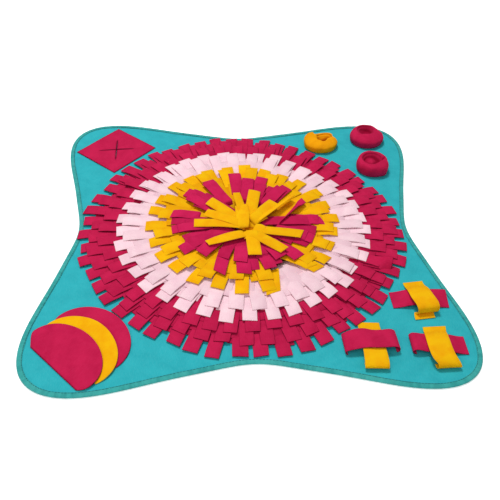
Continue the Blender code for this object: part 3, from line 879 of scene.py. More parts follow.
def lay_strips(mesh: ClothMesh, angle: Array, line: Array, width: Array, seed: float,
               shape: StripShape = SHAPE, roll: Array | float = 0.0, centre: Array = FLOWER_CENTRE) -> None:
    """Add strips of felt that run out from a centre.

    Formula: a strip's point is its line's radius along its angle, plus its sideways place and its
    share of the half width square to that, at its line's height. A twist that grows along the
    strip, and its roll, tilt the share of the half width out of the level. The square of the
    share lowers both edges, and the share pushes the cut end out of square. No point is under the
    panel's top.

    Args:
        mesh: The mesh that the strips go into.
        angle: Angle of each strip, in radians.
        line: Radius, height and offset to the left of the strips' middle lines, shaped
            (strips, stations, 3).
        width: Width, shaped (strips, stations).
        seed: Number that sets this set's unevenness apart.
        shape: How the strips lie.
        roll: Turn of the strip about its own line in radians, shaped (strips, stations).
        centre: Where the strips' lines start, in metres.
    """
    index = np.arange(len(line))[:, None, None]
    along = way_along(line[..., :2])[..., None]
    share = along / along[:, -1:]
    across = edged(shape.columns)
    half = width[..., None] / 2 * across
    twist = shape.twist * uneven(index, seed + 40) * (0.3 + 0.7 * share)
    twist = twist + np.broadcast_to(roll, width.shape)[..., None]
    skew = shape.skew * uneven(index, seed + 50) * across * smooth((share - 0.7) / 0.3)
    cup = shape.cupping * (0.5 + 0.5 * uneven(index, seed + 60))
    height = line[..., 1:2] + half * np.sin(twist) - cup * across**2 * smooth(share * 4)
    out = heading(angle)[:, None, None]
    side = line[..., 2:3] + half * np.cos(twist)
    flat = centre + out * (line[..., 0:1] + skew)[..., None] + left_of(out) * side[..., None]
    start = index * 0.0371 % 1.0 + seed * 0.113
    # The tone differs at random from strip to strip; the shade field lowers it on strips that lie under,
    # painted shade for the gaps between layers.
    tone = 0.5 + 0.5 * uneven(np.arange(len(line)), seed + 70)
    mesh.add_sheets(raised(flat, np.maximum(height, PANEL_TOP + 0.8 * FELT)),
                    stacked(half + start, along + start * 1.7), tone - shape.shade * (0.6 + tone))


@dataclass(frozen=True)
class Stray:
    """A tab that lies askew: each pair is at its root and at its end, in millimetres or degrees."""

    index: int
    side: tuple[float, float]
    lift: tuple[float, float] = (0.0, 0.0)
    roll: tuple[float, float] = (0.0, 0.0)


@dataclass
class FringeRow(FeltPiece):
    """One row of tabs. Radii are from the flower's centre, heights from the floor, in metres."""

    tabs: int
    root: float
    tip: float
    end: float
    width: float
    seed: int
    stretch: float = 0.0                # how much further the tabs reach away from the front
    under: float = 2.0 * MM             # how far the second layer of tabs lies under the first
    under_short: float = 14.0 * MM      # how much shorter the second layer's tabs are
    under_play: float = 8.0 * MM        # and how unlike one another
    under_lean: float = 6.0 * MM
    under_twist: float = math.radians(3.5)
    inner: float = 0.0                  # radius where the second layer starts, if nearer than the root
    layers: int = 1                     # how many such layers there are
    hem: float = 4.0 * MM               # of the slit strip, past the tabs
    strays: tuple[Stray, ...] = ()
    # Where there are no tabs under the top ones: round which angle and how far, in degrees.
    gaps: tuple[tuple[float, float], ...] = ()

    def reach(self, angle: Array) -> Array:
        """Radius that the tabs reach: further away from the front, and shorter at two sides.

        Formula: the tip plus the stretch times one less a bell round the front, times one less a
        share of a bell round each short side.

        Args:
            angle: Angles round the flower, in radians.

        Returns:
            Radii in metres.
        """
        front = hump(turned(angle, SHAPE.front_angle), 0.0, SHAPE.front_spread)
        reach = self.tip + self.stretch * (1.0 - front)
        for middle, spread, share in SHAPE.short_sides:
            reach = reach * (1.0 - share * hump(turned(angle, middle), 0.0, spread))
        return reach

    def add_root_band(self) -> None:
        """Add the uncut edge that the tabs grow from, a low upright ring."""
        angle = np.linspace(0.0, 2 * np.pi, 4 * self.tabs + 1)
        rise = np.array((PANEL_TOP, SHAPE.root_band_top, SHAPE.root_band_top, PANEL_TOP))
        radius = self.root + np.array((0.5, 0.5, -0.5, -0.5)) * FELT
        flat = heading(angle[:-1])[:, None] * radius[:, None] + FLOWER_CENTRE
        self.mesh.add_tubes(raised(flat, rise)[None], stacked((angle * self.root)[:, None], rise)[None],
                            0.3, looped=True)

    def lay_tabs(self, angle: Array, knots: Array, widths: Array, seed: int,
                 shape: StripShape = SHAPE, roll: Array | float = 0.0) -> None:
        """Lay tabs along lines of four knots, no wider than fits so close to the centre.

        Args:
            angle: Angle of each tab, in radians.
            knots: Radius, height and offset to the left, shaped (tabs, 4, 3).
            widths: Width of each tab, as a share of the row's.
            seed: Number that sets these tabs' unevenness apart.
            shape: How the tabs lie.
            roll: Turn of the tabs about their own lines in radians, shaped (tabs, STATIONS).
        """
        line = rounded_line(knots)
        width = np.minimum(self.width * widths[:, None], 0.75 * line[..., 0])
        lay_strips(self.mesh, angle, line, width, seed, shape, roll)

    def add_top_layer(self) -> Array:
        """Add the tabs that the frame's row has, with its angles, lengths and leans.

        Returns:
            Radius that each tab reaches.
        """
        index = np.arange(self.tabs)
        angle = 2 * np.pi / self.tabs * (self.seed * 0.37 + index)
        reach = self.reach(angle) + SHAPE.length_play * uneven(index, self.seed)
        lean = SHAPE.lean_play * (uneven(index, self.seed + 20) + SHAPE.sway * uneven(index, self.seed + 25))
        crest = self.end + SHAPE.droop
        curl = SHAPE.curl * (0.6 + 0.4 * uneven(index, self.seed + 30))
        shoulder = max(SHAPE.shoulder * crest, SHAPE.root_band_top + SHAPE.least_shoulder)
        knots = knot_table(
            (self.root, SHAPE.root_band_top, 0),
            (self.root + SHAPE.bend_out, shoulder, 0),
            (reach - SHAPE.droop_length, crest + 0.4 * curl, 0.75 * lean),
            (reach, self.end - 0.6 * curl, lean),
        )
        roll = np.zeros((self.tabs, STATIONS))
        onset = smooth(np.linspace(-0.3, 1.0, STATIONS))
        for stray in self.strays:
            radius, height, side = knots[stray.index].T     # views, so the knots change with them
            share = (radius - self.root) / (radius[-1] - self.root)
            side[:] = MM * np.interp(share, (0, 1), stray.side)
            height += MM * np.interp(share**2, (0, 1), stray.lift)
            roll[stray.index] = np.radians(np.interp(onset, (0, 1), stray.roll))
        self.lay_tabs(angle, knots, 1.0 + 0.08 * uneven(index, self.seed + 80), self.seed, roll=roll)
        return reach

    def add_under_layer(self, layer: int) -> None:
        """Add the tabs that show between those of the top layer, a little lower.

        Formula: as the top layer's, half a pitch round and less even in angle, length and width. Each
        further such layer is a quarter of a pitch round from the one before and lower, and shorter too.

        Args:
            layer: 0 for the first layer under the top one, 1 for the next.
        """
        index = np.arange(self.tabs)
        seed = self.seed + 100 + 40 * layer
        round_by = self.seed * 0.37 + index + 0.5 + 0.27 * layer + 0.26 * uneven(index, seed)
        angle = 2 * np.pi / self.tabs * round_by
        for middle, spread in self.gaps:
            kept = np.abs(turned(angle, math.radians(middle))) > math.radians(spread)
            index, angle = index[kept], angle[kept]
        shorter = self.under_short * (1 + min(layer, 1))
        reach = self.reach(angle) - shorter + self.under_play * uneven(index, seed + 1)
        lean = self.under_lean * uneven(index, seed + 2)
        crest = self.end + SHAPE.droop - self.under * (1.0 + 0.6 * layer)
        curl = SHAPE.curl * (0.5 + 0.5 * uneven(index, seed + 3))
        base = SHAPE.root_band_top - 1.0 * MM
        shoulder = max(SHAPE.shoulder * crest, base + 0.6 * MM)
        start, out, step_up = self.root + 2.0 * MM, SHAPE.bend_out, 0.0
        if self.inner:
            start, out, step_up = self.inner, (self.root - self.inner) * 0.45, 6.0 * MM
        knots = knot_table(
            (start, base + step_up, 0),
            (start + out, shoulder, 0),
            (reach - SHAPE.droop_length, crest + 0.2 * curl, 0.7 * lean),
            (reach, crest - SHAPE.droop - 0.5 * curl, lean),
        )
        # Painted shade: these tabs' tone is lowered, more on each layer further down.
        self.lay_tabs(angle, knots, 0.95 + 0.10 * uneven(index, seed + 4), seed,
                      StripShape(twist=self.under_twist, cupping=0.4 * MM, shade=0.50 + 0.25 * layer))

    def build(self) -> bpy.types.Object:
        """Make the row: its root band and its layers of tabs, each tab a little unlike the next.

        Returns:
            The row, seated.
        """
        self.add_root_band()
        for layer in range(self.layers):
            self.add_under_layer(layer)
        reach = self.add_top_layer()
        row = self.seated()
        return row


ROWS = (
    FringeRow("crimson_row_1", CRIMSON_FELT, 52, 0.246, 0.3135, 0.0066, 0.0255, 1, under_short=25 * MM),
    FringeRow("crimson_row_2", CRIMSON_FELT, 48, 0.224, 0.2890, 0.0096, 0.0250, 2, stretch=8 * MM,
              under_short=20 * MM, strays=(Stray(44, (0, 4), (0, 7), (0, 55)),)),
    FringeRow("crimson_row_3", CRIMSON_FELT, 44, 0.202, 0.2650, 0.0127, 0.0250, 3, stretch=12 * MM,
              under_short=20 * MM, inner=0.168),
    FringeRow("pink_row_1", PINK_FELT, 38, 0.180, 0.2450, 0.0158, 0.0255, 4, under_short=26 * MM),
    FringeRow("pink_row_2", PINK_FELT, 34, 0.158, 0.2200, 0.0189, 0.0250, 5, stretch=12 * MM,
              under_short=24 * MM, inner=0.118, layers=3),
    FringeRow("yellow_row_1", YELLOW_FELT, 26, 0.128, 0.1850, 0.0220, 0.0255, 6, under_short=34 * MM,
              inner=0.100, gaps=((-63.0, 13.0),),
              strays=(Stray(19, (-8, -37), (-1.7, -1.7)), Stray(20, (6, 22), (-1.0, -1.0)))),
    FringeRow("yellow_row_2", YELLOW_FELT, 20, 0.104, 0.1620, 0.0250, 0.0250, 7, stretch=9 * MM,
              inner=0.040, layers=3, under_short=20 * MM, gaps=((-63.0, 13.0),),
              strays=(Stray(14, (10, 41), (-1.7, -1.7)),)),
    FringeRow("magenta_row_1", MAGENTA_FELT, 15, 0.080, 0.1450, 0.0279, 0.0255, 8, under_play=10 * MM,
              under_lean=7 * MM, under_twist=math.radians(5.0), inner=0.050, under_short=10 * MM,
              strays=(Stray(13, (-20, -63), (-1.8, -1.8)), Stray(7, (6, 30)), Stray(8, (2, 11)),
                      Stray(4, (2, 13))),
              gaps=((21.0, 22.0), (106.0, 12.0), (158.0, 9.0), (-119.0, 10.0))),
    FringeRow("magenta_row_2", MAGENTA_FELT, 10, 0.056, 0.1230, 0.0307, 0.0260, 9, stretch=8 * MM,
              under_play=12 * MM, under_lean=7 * MM, under_twist=math.radians(6.0), inner=0.016,
              under_short=12 * MM, layers=2,
              strays=(Stray(7, (-26, 29), (-3, 0), (-50, -14)), Stray(1, (-2, -20))),
              gaps=((22.0, 24.0), (106.0, 12.0))),
)


@dataclass
class CentreTuft(FeltPiece):
    """The yellow strips that are bunched in the middle and arch out over the flower. In metres."""

    tabs: tuple[tuple[float, int, float, float, float, float, float, float], ...] = (
        # side of the knot, tier, angle of the end, reach, width, roll, sideways at the knot, width
        # lost at the end: in degrees, metres for the reach, millimetres for the rest
        (45.0, 0, 49.0, 0.085, 27.0, 6.0, 0.0, 0.0),
        (45.0, 1, 42.0, 0.125, 14.0, -30.0, -5.0, 2.0),
        (75.0, 0, 80.0, 0.104, 24.0, 3.0, 0.0, 0.0),
        (105.0, 1, 102.0, 0.094, 17.0, 8.0, 3.0, 2.0),
        (135.0, 0, 136.0, 0.103, 23.0, -8.0, 3.0, 0.0),
        (165.0, 1, 158.0, 0.087, 25.0, 4.0, 2.0, 1.0),
        (195.0, 0, 178.0, 0.103, 20.0, -8.0, 0.0, 0.0),
        (225.0, 1, 215.0, 0.096, 25.0, 8.0, 15.0, 10.0),
        (285.0, 0, 275.0, 0.086, 25.0, -4.0, 2.0, 0.0),
        (315.0, 1, 309.0, 0.098, 21.0, 8.0, -12.0, 2.0),
        (345.0, 0, 343.0, 0.104, 24.0, -6.0, -10.0, 0.0),
    )
    bunch: tuple[tuple[float, float, float, float, float, float, float], ...] = (
        # angle in degrees, start, reach, height over the lower crests, width, roll, side, mostly in mm
        (91.0, -9.0, 54.0, 3.4, 26.0, -7.0, 10.0),
        (40.0, 11.0, 42.0, 1.6, 26.0, 12.0, 2.0),
        (186.0, 13.0, 38.0, 1.2, 18.0, -12.0, -5.0),
        (272.0, 19.0, 41.0, 1.7, 27.0, 5.0, 2.0),
        (335.0, 12.0, 34.0, 0.9, 24.0, 12.0, -7.0),
        (161.0, 10.0, 42.0, -0.9, 20.0, -10.0, 2.0),
    )
    crests: tuple[float, float] = (35.0 * MM, 37.2 * MM)
    ends: tuple[float, float] = (34.0 * MM, 36.4 * MM)
    knot_radius: float = 5.0 * MM
    knot_height: float = 21.0 * MM
    twist: float = math.radians(5.0)
    pinch: float = 13.0 * MM            # width of a strip in the knot
    dome_radius: float = 25.0 * MM      # of the scrunched felt under the strips
    dome_height: float = 18.0 * MM
    fold_height: float = 4.0 * MM
    strip: tuple[float, float] = (115.0 * MM, 21.0 * MM)    # mean length and width of a strip

    def build(self) -> bpy.types.Object:
        """Make the strips, the bunched folds on top and the scrunched felt under them.

        Returns:
            The tuft, seated.
        """
        self.add_tabs()
        self.add_bunch()
        self.add_knot()
        tuft = self.seated(WELD)
        return tuft

    def add_tabs(self) -> None:
        """Add the strips that reach out.

        Formula: a strip starts pinched in the knot, climbs, passes its crest half way out and settles
        to its end. It leans from its root's side of the knot over to its end's angle, widens as it
        goes, and rolls about its own line by its share of the way.
        """
        side, tier, angle, reach, width, roll, off, lost = np.array(self.tabs).T
        side, angle, roll = np.radians((side, angle, roll))
        width, off, lost = width * MM, off * MM, lost * MM
        base = self.knot_height + 1.2 * MM * tier
        crest, end = (np.interp(tier, (0, 1), tiers) for tiers in (self.crests, self.ends))
        sideways, far = np.sin(side - angle), np.abs(off)
        line = curve_through(knot_table(
            (self.knot_radius + 0.6 * far, base, 0.6 * off, self.pinch),
            (13 * MM + 0.5 * far, base + 0.55 * (crest - base), 0.9 * off + 6 * MM * sideways, 0.72 * width),
            (24 * MM + 0.3 * far, base + 0.90 * (crest - base), off + 7 * MM * sideways, 0.90 * width),
            (0.5 * reach, crest, 0.75 * off, 0.98 * width),
            (0.76 * reach, crest - 0.2 * MM, 0.35 * off, width - 0.3 * lost),
            (reach - 0.6 * MM, end, 0, width - lost),
            (reach, end - 0.1 * MM, 0, width - lost),
        ), 61)                          # ten points from each knot to the next
        stations = np.array([*range(0, 50, 4), 50, 60])
        lay_strips(self.mesh, angle, line[:, stations, :3], line[:, stations, 3], 11.0,
                   StripShape(twist=self.twist, cupping=1.2 * MM, columns=7),
                   roll[:, None] * smooth(stations / 40), TUFT_CENTRE)

    def add_bunch(self) -> None:
        """Add the short strips that lie folded on one another over the knot.

        Formula: a short strip starts past the knot's middle, humps over it and ends a little way out,
        tilted by its roll.
        """
        angle, start, reach, height, width, roll, side = np.array(self.bunch).T
        start, reach, side, width = start * MM, reach * MM, side * MM, width * MM
        height = height * MM + self.crests[0]
        length = reach - start
        line = curve_through(knot_table(
            (start, height - 7.0 * MM, side, 0.74 * width),
            (start + 0.16 * length, height - 1.4 * MM, side, 0.90 * width),
            (start + 0.50 * length, height, side, width),
            (start + 0.80 * length, height - 0.6 * MM, side, width),
            (reach - 0.6 * MM, height - 1.9 * MM, side, 0.97 * width),
            (reach, height - 2.0 * MM, side, 0.97 * width),
        ), 51)                          # ten points from each knot to the next
        stations = np.array([*range(0, 44, 4), 50])
        lay_strips(self.mesh, np.radians(angle), line[:, stations, :3], line[:, stations, 3], 14.0,
                   StripShape(twist=self.twist, cupping=2.2 * MM, columns=9),
                   np.radians(roll)[:, None], TUFT_CENTRE)

    def add_knot(self) -> None:
        """Add the scrunched felt in the middle: a dome with folds running in to its top.

        Formula: the radius falls and the height rises along a quarter of an ellipse, and both swing
        with sines of the angle that fade towards the foot.
        """
        up = np.linspace(0.0, 1.0, 14)[:, None]
        angle = np.linspace(0.0, 2 * np.pi, 73)[:-1]
        fold = (0.22 * np.sin(6 * angle + 0.8) + 0.13 * np.sin(11 * angle + 2.0)) * smooth(up * 1.6)
        radius = self.dome_radius * np.cos(up * np.pi / 2) * (1.0 + 0.5 * fold)
        rise = self.dome_height * np.sin(up * np.pi / 2) ** 0.8 + self.fold_height * fold * (1 - up)
        dome = raised(radius[..., None] * heading(angle) + TUFT_CENTRE, PANEL_TOP + rise)
        foot = np.broadcast_to((*TUFT_CENTRE, PANEL_TOP), (1, *dome.shape[1:]))
        points = np.concatenate([foot, dome])[None]
        # Its tone of -0.8 paints shade on the scrunched felt, for the crevices between the strips.
        self.mesh.add_tubes(points, points[..., :2], -0.8)


# ---- Corner games -------------------------------------------------------------------------------

@dataclass
class SlitPatch(FeltPiece):
    """The square of felt with a crossed slit. Sizes in metres."""

    centre: tuple[float, float] = (-0.2750, 0.2728)
    stretch: float = 0.06               # how much longer one pair of its sides is, as a share
    side: float = 0.1185
    turn: float = math.radians(49.0)
    slit: float = 0.084
    gape: float = 0.7 * MM
    lift: float = 1.4 * MM
    wave: float = 0.18 * MM
    fade: float = 3.2 * MM              # how far the cut edges' dark colour, painted shade in the slit, reaches into the cloth
    steps: int = 26
    columns: int = 31

    def build(self) -> bpy.types.Object:
        """Make the patch from its four cut corners, which meet at the slit.

        Formula: each quarter is a square grid from the patch's middle to a side's middle and a
        corner. Along the slit the cloth draws back from the diagonal and lifts, most at the middle,
        and the cut edges' colour fades into the cloth as a bell does, painted shade in the slit.

        Returns:
            The patch, seated.
        """
        half = self.side / 2
        # A quarter lies between two diagonals: v runs from the middle out to the side, u along it.
        v, u = np.meshgrid(np.linspace(0.0, 1.0, self.steps) ** 1.15, edged(self.columns, BROAD_EDGE),
                           indexing="ij")
        depth = v * half
        diagonal = depth * math.sqrt(2.0)
        open_share = np.clip(1.0 - diagonal / (self.slit / 2), 0.0, 1.0)
        draw = self.gape * open_share**1.3 * np.abs(u) ** 8
        lift = self.lift * open_share**1.2 * (0.35 + 0.65 * np.abs(u) ** 3)
        cut = np.where(diagonal < self.slit / 2, 0.06 * MM, 0.0) * (np.abs(u) > 0.99)
        along = u * depth - np.sign(u) * (draw + cut)
        out = depth + self.gape * 0.8 * open_share**2
        waves = self.wave * np.sin(60 * along + 1.0) * v
        quarter = np.arange(4)[:, None, None]
        z = PANEL_TOP + FELT / 2 + 0.15 * MM + lift * (1.0 + 0.35 * uneven(quarter, 5.0)) + waves
        middle = placed(along, out, z, self.centre, self.turn + quarter * np.pi / 2)
        longer = heading(self.turn)
        far = (middle[..., :2] - self.centre) @ longer
        middle[..., :2] += self.stretch * far[..., None] * longer
        # Painted shade: the cut edges' dark colour spreads from the slit into the cloth.
        edge = hump((1.0 - np.abs(u)) * depth, 0.0, self.fade) * smooth(5.0 * open_share)
        edge[-1] = 1.0
        self.mesh.add_sheets(middle, middle[..., :2], edge=edge)
        patch = self.seated()
        return patch


@dataclass
class RolledCup(FeltPiece):
    """A cup of felt, rolled and tucked in by hand. Lengths in millimetres, angles in degrees.

    The rim is a closed line round the hollow's own middle, and the wall leans in to it from a base
    that is round the cup's middle.
    """

    centre: tuple[float, float]                 # of the base, in metres
    base: tuple[tuple[float, float], ...]       # angle, radius of the wall
    hollow: tuple[float, float]                 # the hollow's middle, from the cup's
    rim: tuple[tuple[float, float, float, float], ...]  # angle, radius, height, floor's height beside it
    floor: float                                # height of the hollow's middle
    creases: tuple[tuple[float, float, float, float, float, float], ...] = ()   # from, to, depth, width
    square: float = 0.5                         # below 0 draws the colour to the deep one, as painted shade
    tone: float = 0.4                           # below 0 for a deeper dye
    wrinkle: float = 0.45
    fill: float = 0.5                           # of its padding
    around: int = 132                           # points round it
    down: int = 71                              # points from the underside's middle to the hollow's
    lip: int = 39                               # the first of those that turn over the rim
    lip_edge: tuple[float, ...] = (0.2, 0.5, 0.6, 0.5, 0.2)     # how much of the cut edges' colour they take at the rim: painted shade on the crimson cups, a paler line on the yellow one
    inside: int = 45                            # the first that lies in the hollow

    def round_values(self, table: tuple[tuple[float, ...], ...], angle: Array) -> list[Array]:
        """The columns of a table of angles, joined round the circle and eased.

        Formula: straight lines between the table's angles, then a bell-weighted mean over the nine
        degrees on either side.

        Args:
            table: Rows that start with an angle in degrees.
            angle: Angles in radians.

        Returns:
            For each column after the first, its value at each angle.
        """
        knots, *columns = np.array(table, float).T
        degrees = np.arange(360.0)
        bell = hump(np.arange(-9, 10), 0.0, 4.0)
        eased = []
        for column in columns:
            sharp = np.interp(degrees, knots, column, period=360.0)
            round_it = np.concatenate([sharp[-9:], sharp, sharp[:9]])
            soft = np.convolve(round_it, bell / bell.sum(), "valid")
            eased.append(np.interp(np.degrees(angle), degrees, soft, period=360.0))
        return eased

    def build(self) -> bpy.types.Object:
        """Make the cup.

        Formula: at each angle a smooth curve runs from the underside's middle out to the wall, up
        and in over the shoulder to the rim, turns sharply over it, and goes down to the hollow's
        middle. Its centre slides from the cup's middle to the hollow's on the way. Slow sines of
        angle and height wrinkle the wall, and each crease lowers a narrow strip of the top. The tone
        falls to -1 down in the hollow, painted shade drawn with the deep colour.

        Returns:
            The cup, seated.
        """
        angle = np.linspace(0.0, 2 * np.pi, self.around + 1)[:-1]
        low = PANEL_TOP / MM
        (wall,) = self.round_values(self.base, angle)
        rim, top, beside = self.round_values(self.rim, angle)
        tall = top - low
        flat = self.square
        curve = curve_through(knot_table(       # radius, height, share of the slide to the hollow
            (0, low, 0), (0.5 * wall, low, 0), (0.80 * wall, low, 0),
            (0.95 * wall, low + 0.07 * tall, 0), (1.0 * wall, low + 0.32 * tall, 0),
            ((0.985 + 0.01 * flat) * wall, low + (0.62 + 0.05 * flat) * tall, 0.03),
            ((0.45 - 0.30 * flat) * rim + (0.50 + 0.33 * flat) * wall,
             low + (0.87 + 0.05 * flat) * tall, 0.35 - 0.20 * flat),
            ((0.86 - 0.26 * flat) * rim + (0.14 + 0.25 * flat) * wall,
             low + (0.985 + 0.005 * flat) * tall, 0.82 - 0.22 * flat),
            (rim + 0.9, top, 0.97), (rim - 1.0, top - 1.0, 1), (rim - 1.7, top - 3.6, 1),
            (0.86 * rim - 1.0, 0.45 * top + 0.55 * beside, 1), (0.68 * rim, beside, 1),
            (0.34 * rim, 0.35 * beside + 0.65 * self.floor, 1), (0, self.floor, 1),
        ), self.down).transpose(1, 0, 2)
        out, height, slide = curve[..., 0], curve[..., 1], np.clip(curve[..., 2], 0.0, 1.0)
        out[[0, -1]] = 0.0
        up = smooth((height - low - 1.0) / 6.0) * (1.0 - smooth((slide - 0.85) / 0.15))
        ripple = np.sin(5 * angle + 1.1 + 0.09 * height) + 0.6 * np.sin(9 * angle + 2.3 - 0.12 * height)
        out = out + self.wrinkle * up * ripple
        place = out[..., None] * heading(angle) + np.array(self.hollow) * slide[..., None]
        over = smooth((slide - 0.1) / 0.4)
        for *start, end_x, end_y, depth, width in self.creases:
            way = np.array((end_x, end_y)) - start
            length = np.hypot(*way)
            along = np.clip((place - start) @ way / length, 0.0, length)
            away = np.linalg.norm(place - start - along[..., None] * way / length, axis=-1)
            height = height - depth * hump(away, 0.0, width) * over
        height = np.maximum(height, low + 1.4 * over)
        points = raised(place, height)[None] * MM + np.array((*self.centre, 0.0))
        down = way_along(curve.mean(axis=1)[:, :2]) * MM
        edge = np.zeros(points.shape[:3])
        edge[:, self.lip:self.lip + len(self.lip_edge)] = np.array(self.lip_edge)[:, None]
        # Painted shade: inside the hollow the tone falls towards -1, most where it lies deep under the rim.
        inside = smooth((np.arange(self.down) - self.inside) / 10.0)[:, None]
        shade = inside * smooth((top - height - 2.0) / 14.0)
        self.mesh.add_tubes(points, stacked(angle * 0.033, down[:, None])[None],
                            (self.tone - (1.0 + self.tone) * shade)[None], edge)
        cup = self.seated(WELD)
        return cup


CUPS = (
    RolledCup(
        "cup_yellow", SHADED_YELLOW_FELT, (0.1865, 0.2880),
        ((0, 38.5), (18, 40), (45, 35.5), (90, 31.5), (120, 31), (145, 36), (160, 38.5), (200, 36.5),
         (270, 31), (315, 34)),
        (8.0, 4.0),
        ((20, 15, 24, 10), (36, 27, 23, 14), (50, 27.5, 22.5, 15.5), (78, 24, 22, 16), (110, 21.5, 21.5, 14),
         (135, 22, 23, 12), (149, 24, 27.5, 12), (155, 28.5, 33, 13), (163, 27, 33.5, 12),
         (175, 18, 30.5, 10), (190, 15, 27, 9), (215, 14.5, 26, 8), (252, 17.5, 25.5, 8),
         (285, 12, 25.5, 8), (320, 8.5, 25.5, 8), (352, 9, 25, 8)),
        4.5,
        ((-3.0, 1.0, 24.0, 16.0, 14.0, 4.4), (-12.0, 15.0, -16.0, 24.0, 2.5, 2.5)),
        square=0.55,
    ),
    RolledCup(
        "cup_crimson_back", CRIMSON_FELT, (0.2980, 0.3115),
        ((0, 38.5), (10, 39.5), (30, 38), (60, 37), (120, 37), (180, 38.5), (225, 38), (270, 36.5), (320, 37),
         (350, 39)),
        (2.0, 11.0),
        ((0, 15, 26.5, 10), (25, 17, 26.5, 10), (53, 20, 27, 11), (95, 20, 27, 12), (132, 22.5, 27, 15),
         (178, 24, 27.3, 19), (211, 25, 27.6, 19), (229, 23.5, 27.8, 15), (252, 20, 28, 12),
         (287, 18, 27.8, 10), (330, 15.5, 27, 10)),
        8.0,
        ((17.0, 9.0, 34.0, 9.0, 1.5, 2.6), (-13.0, -8.0, -30.0, -12.0, 1.2, 2.4)),
        square=0.55,
    ),
    RolledCup(
        "cup_crimson_front", CRIMSON_FELT, (0.2895, 0.1990),
        ((0, 34), (20, 36), (60, 33.5), (90, 34), (150, 34.5), (180, 35.5), (230, 35), (270, 33.5),
         (290, 34.5), (315, 37.5), (330, 35)),
        (-1.5, 3.0),
        ((0, 22.5, 30.5, 13), (20, 23.5, 30.5, 14), (60, 21, 32.5, 19), (90, 20, 33, 21), (120, 21, 32.5, 21),
         (170, 23, 30, 17), (205, 22.5, 30, 15), (250, 23, 30, 14), (290, 19, 30.5, 13), (310, 16, 30.5, 13),
         (325, 17, 30.5, 13), (345, 21.5, 30.5, 13)),
        24.5,
        ((5.0, -11.0, 30.0, 9.5, 6.5, 2.0), (-22.0, -12.0, -34.0, -16.0, 0.9, 2.4)),
        square=0.85,
    ),
)


@dataclass
class HalfRoundFlap(FeltPiece):
    """One half-round flap, sewn along its straight edge. Sizes in metres."""

    step: int                           # how many steps further out than the top flap it is sewn
    climb: float                        # how high it eases up over the flap below
    lift: float                         # and how much higher its free edge lies
    chord: tuple[float, float] = (-0.3180, -0.3180)     # middle of the top flap's sewn edge
    turn: float = math.radians(-45.0)
    step_length: float = 27.0 * MM
    half_chord: float = 60.0 * MM
    half_width: float = 71.0 * MM
    shoulder: float = 18.0 * MM
    depth: float = 76.0 * MM
    rise_length: float = 26.0 * MM
    long_end: float = 0.0               # how much longer the front end is, as a share of the half width
    drift: float = 0.0                  # how far the sewn edge lies towards the front end
    wave: float = 0.35 * MM
    crowding: float = math.radians(88.6)        # how much of a sine crowds the rows to the free edge
    fullness: float = 0.85              # area, as a share of its box's
    rows: int = 40
    columns: int = 33

    def build(self) -> bpy.types.Object:
        """Make the flap.

        Formula: rows run parallel to the sewn edge and crowd towards the free edge as a sine does.
        Their half width flares along a quarter sine, then follows half an ellipse, and the sewn end
        of them drifts to the front. The height eases up over the flap below, and goes on rising with
        the depth to the power of 1.5.

        Returns:
            The flap, seated.
        """
        share = np.concatenate([np.linspace(0.0, 0.985, self.rows - 1), [1.0]])[:, None]
        depth = self.depth * np.sin(share * self.crowding)
        flared = np.sin(np.pi / 2 * np.clip(depth / self.shoulder, 0, 1))
        flare = self.half_chord + (self.half_width - self.half_chord) * flared
        past = np.clip((depth - self.shoulder) / (self.depth - self.shoulder), 0.0, 1.0)
        half = np.where(depth < self.shoulder, flare, self.half_width * np.sqrt(1.0 - past**2))
        across = edged(self.columns, BROAD_EDGE)
        x = across * half * (1.0 + self.long_end * smooth(across))
        x = x + self.drift * (1.0 - smooth(depth / self.shoulder))
        y = depth + self.step * self.step_length
        rise = self.climb * smooth(depth / self.rise_length) + self.lift * (depth / self.depth) ** 1.5
        waves = self.wave * np.sin(x * 62 + self.step * 2.0) * (depth / self.depth) ** 1.2
        middle = placed(x, y, PANEL_TOP + FELT / 2 + rise + waves, self.chord, self.turn)
        self.mesh.add_sheets(middle[None], stacked(x + 0.3 * self.step, y)[None])
        flap = self.seated()
        return flap


FLAPS = (
    HalfRoundFlap("flap_crimson_low", CRIMSON_FELT, 2, 0.0, 3.0 * MM, half_chord=70 * MM,
                  half_width=75.5 * MM, depth=80.5 * MM),
    HalfRoundFlap("flap_yellow", YELLOW_FELT, 1, 2.4 * MM, 4.0 * MM, half_chord=69 * MM, half_width=72 * MM,
                  depth=77.5 * MM, long_end=0.11),
    HalfRoundFlap("flap_crimson_top", CRIMSON_FELT, 0, 2.6 * MM, 6.0 * MM, half_chord=59 * MM,
                  half_width=75.5 * MM, shoulder=22 * MM, depth=75.5 * MM, drift=5 * MM),
)


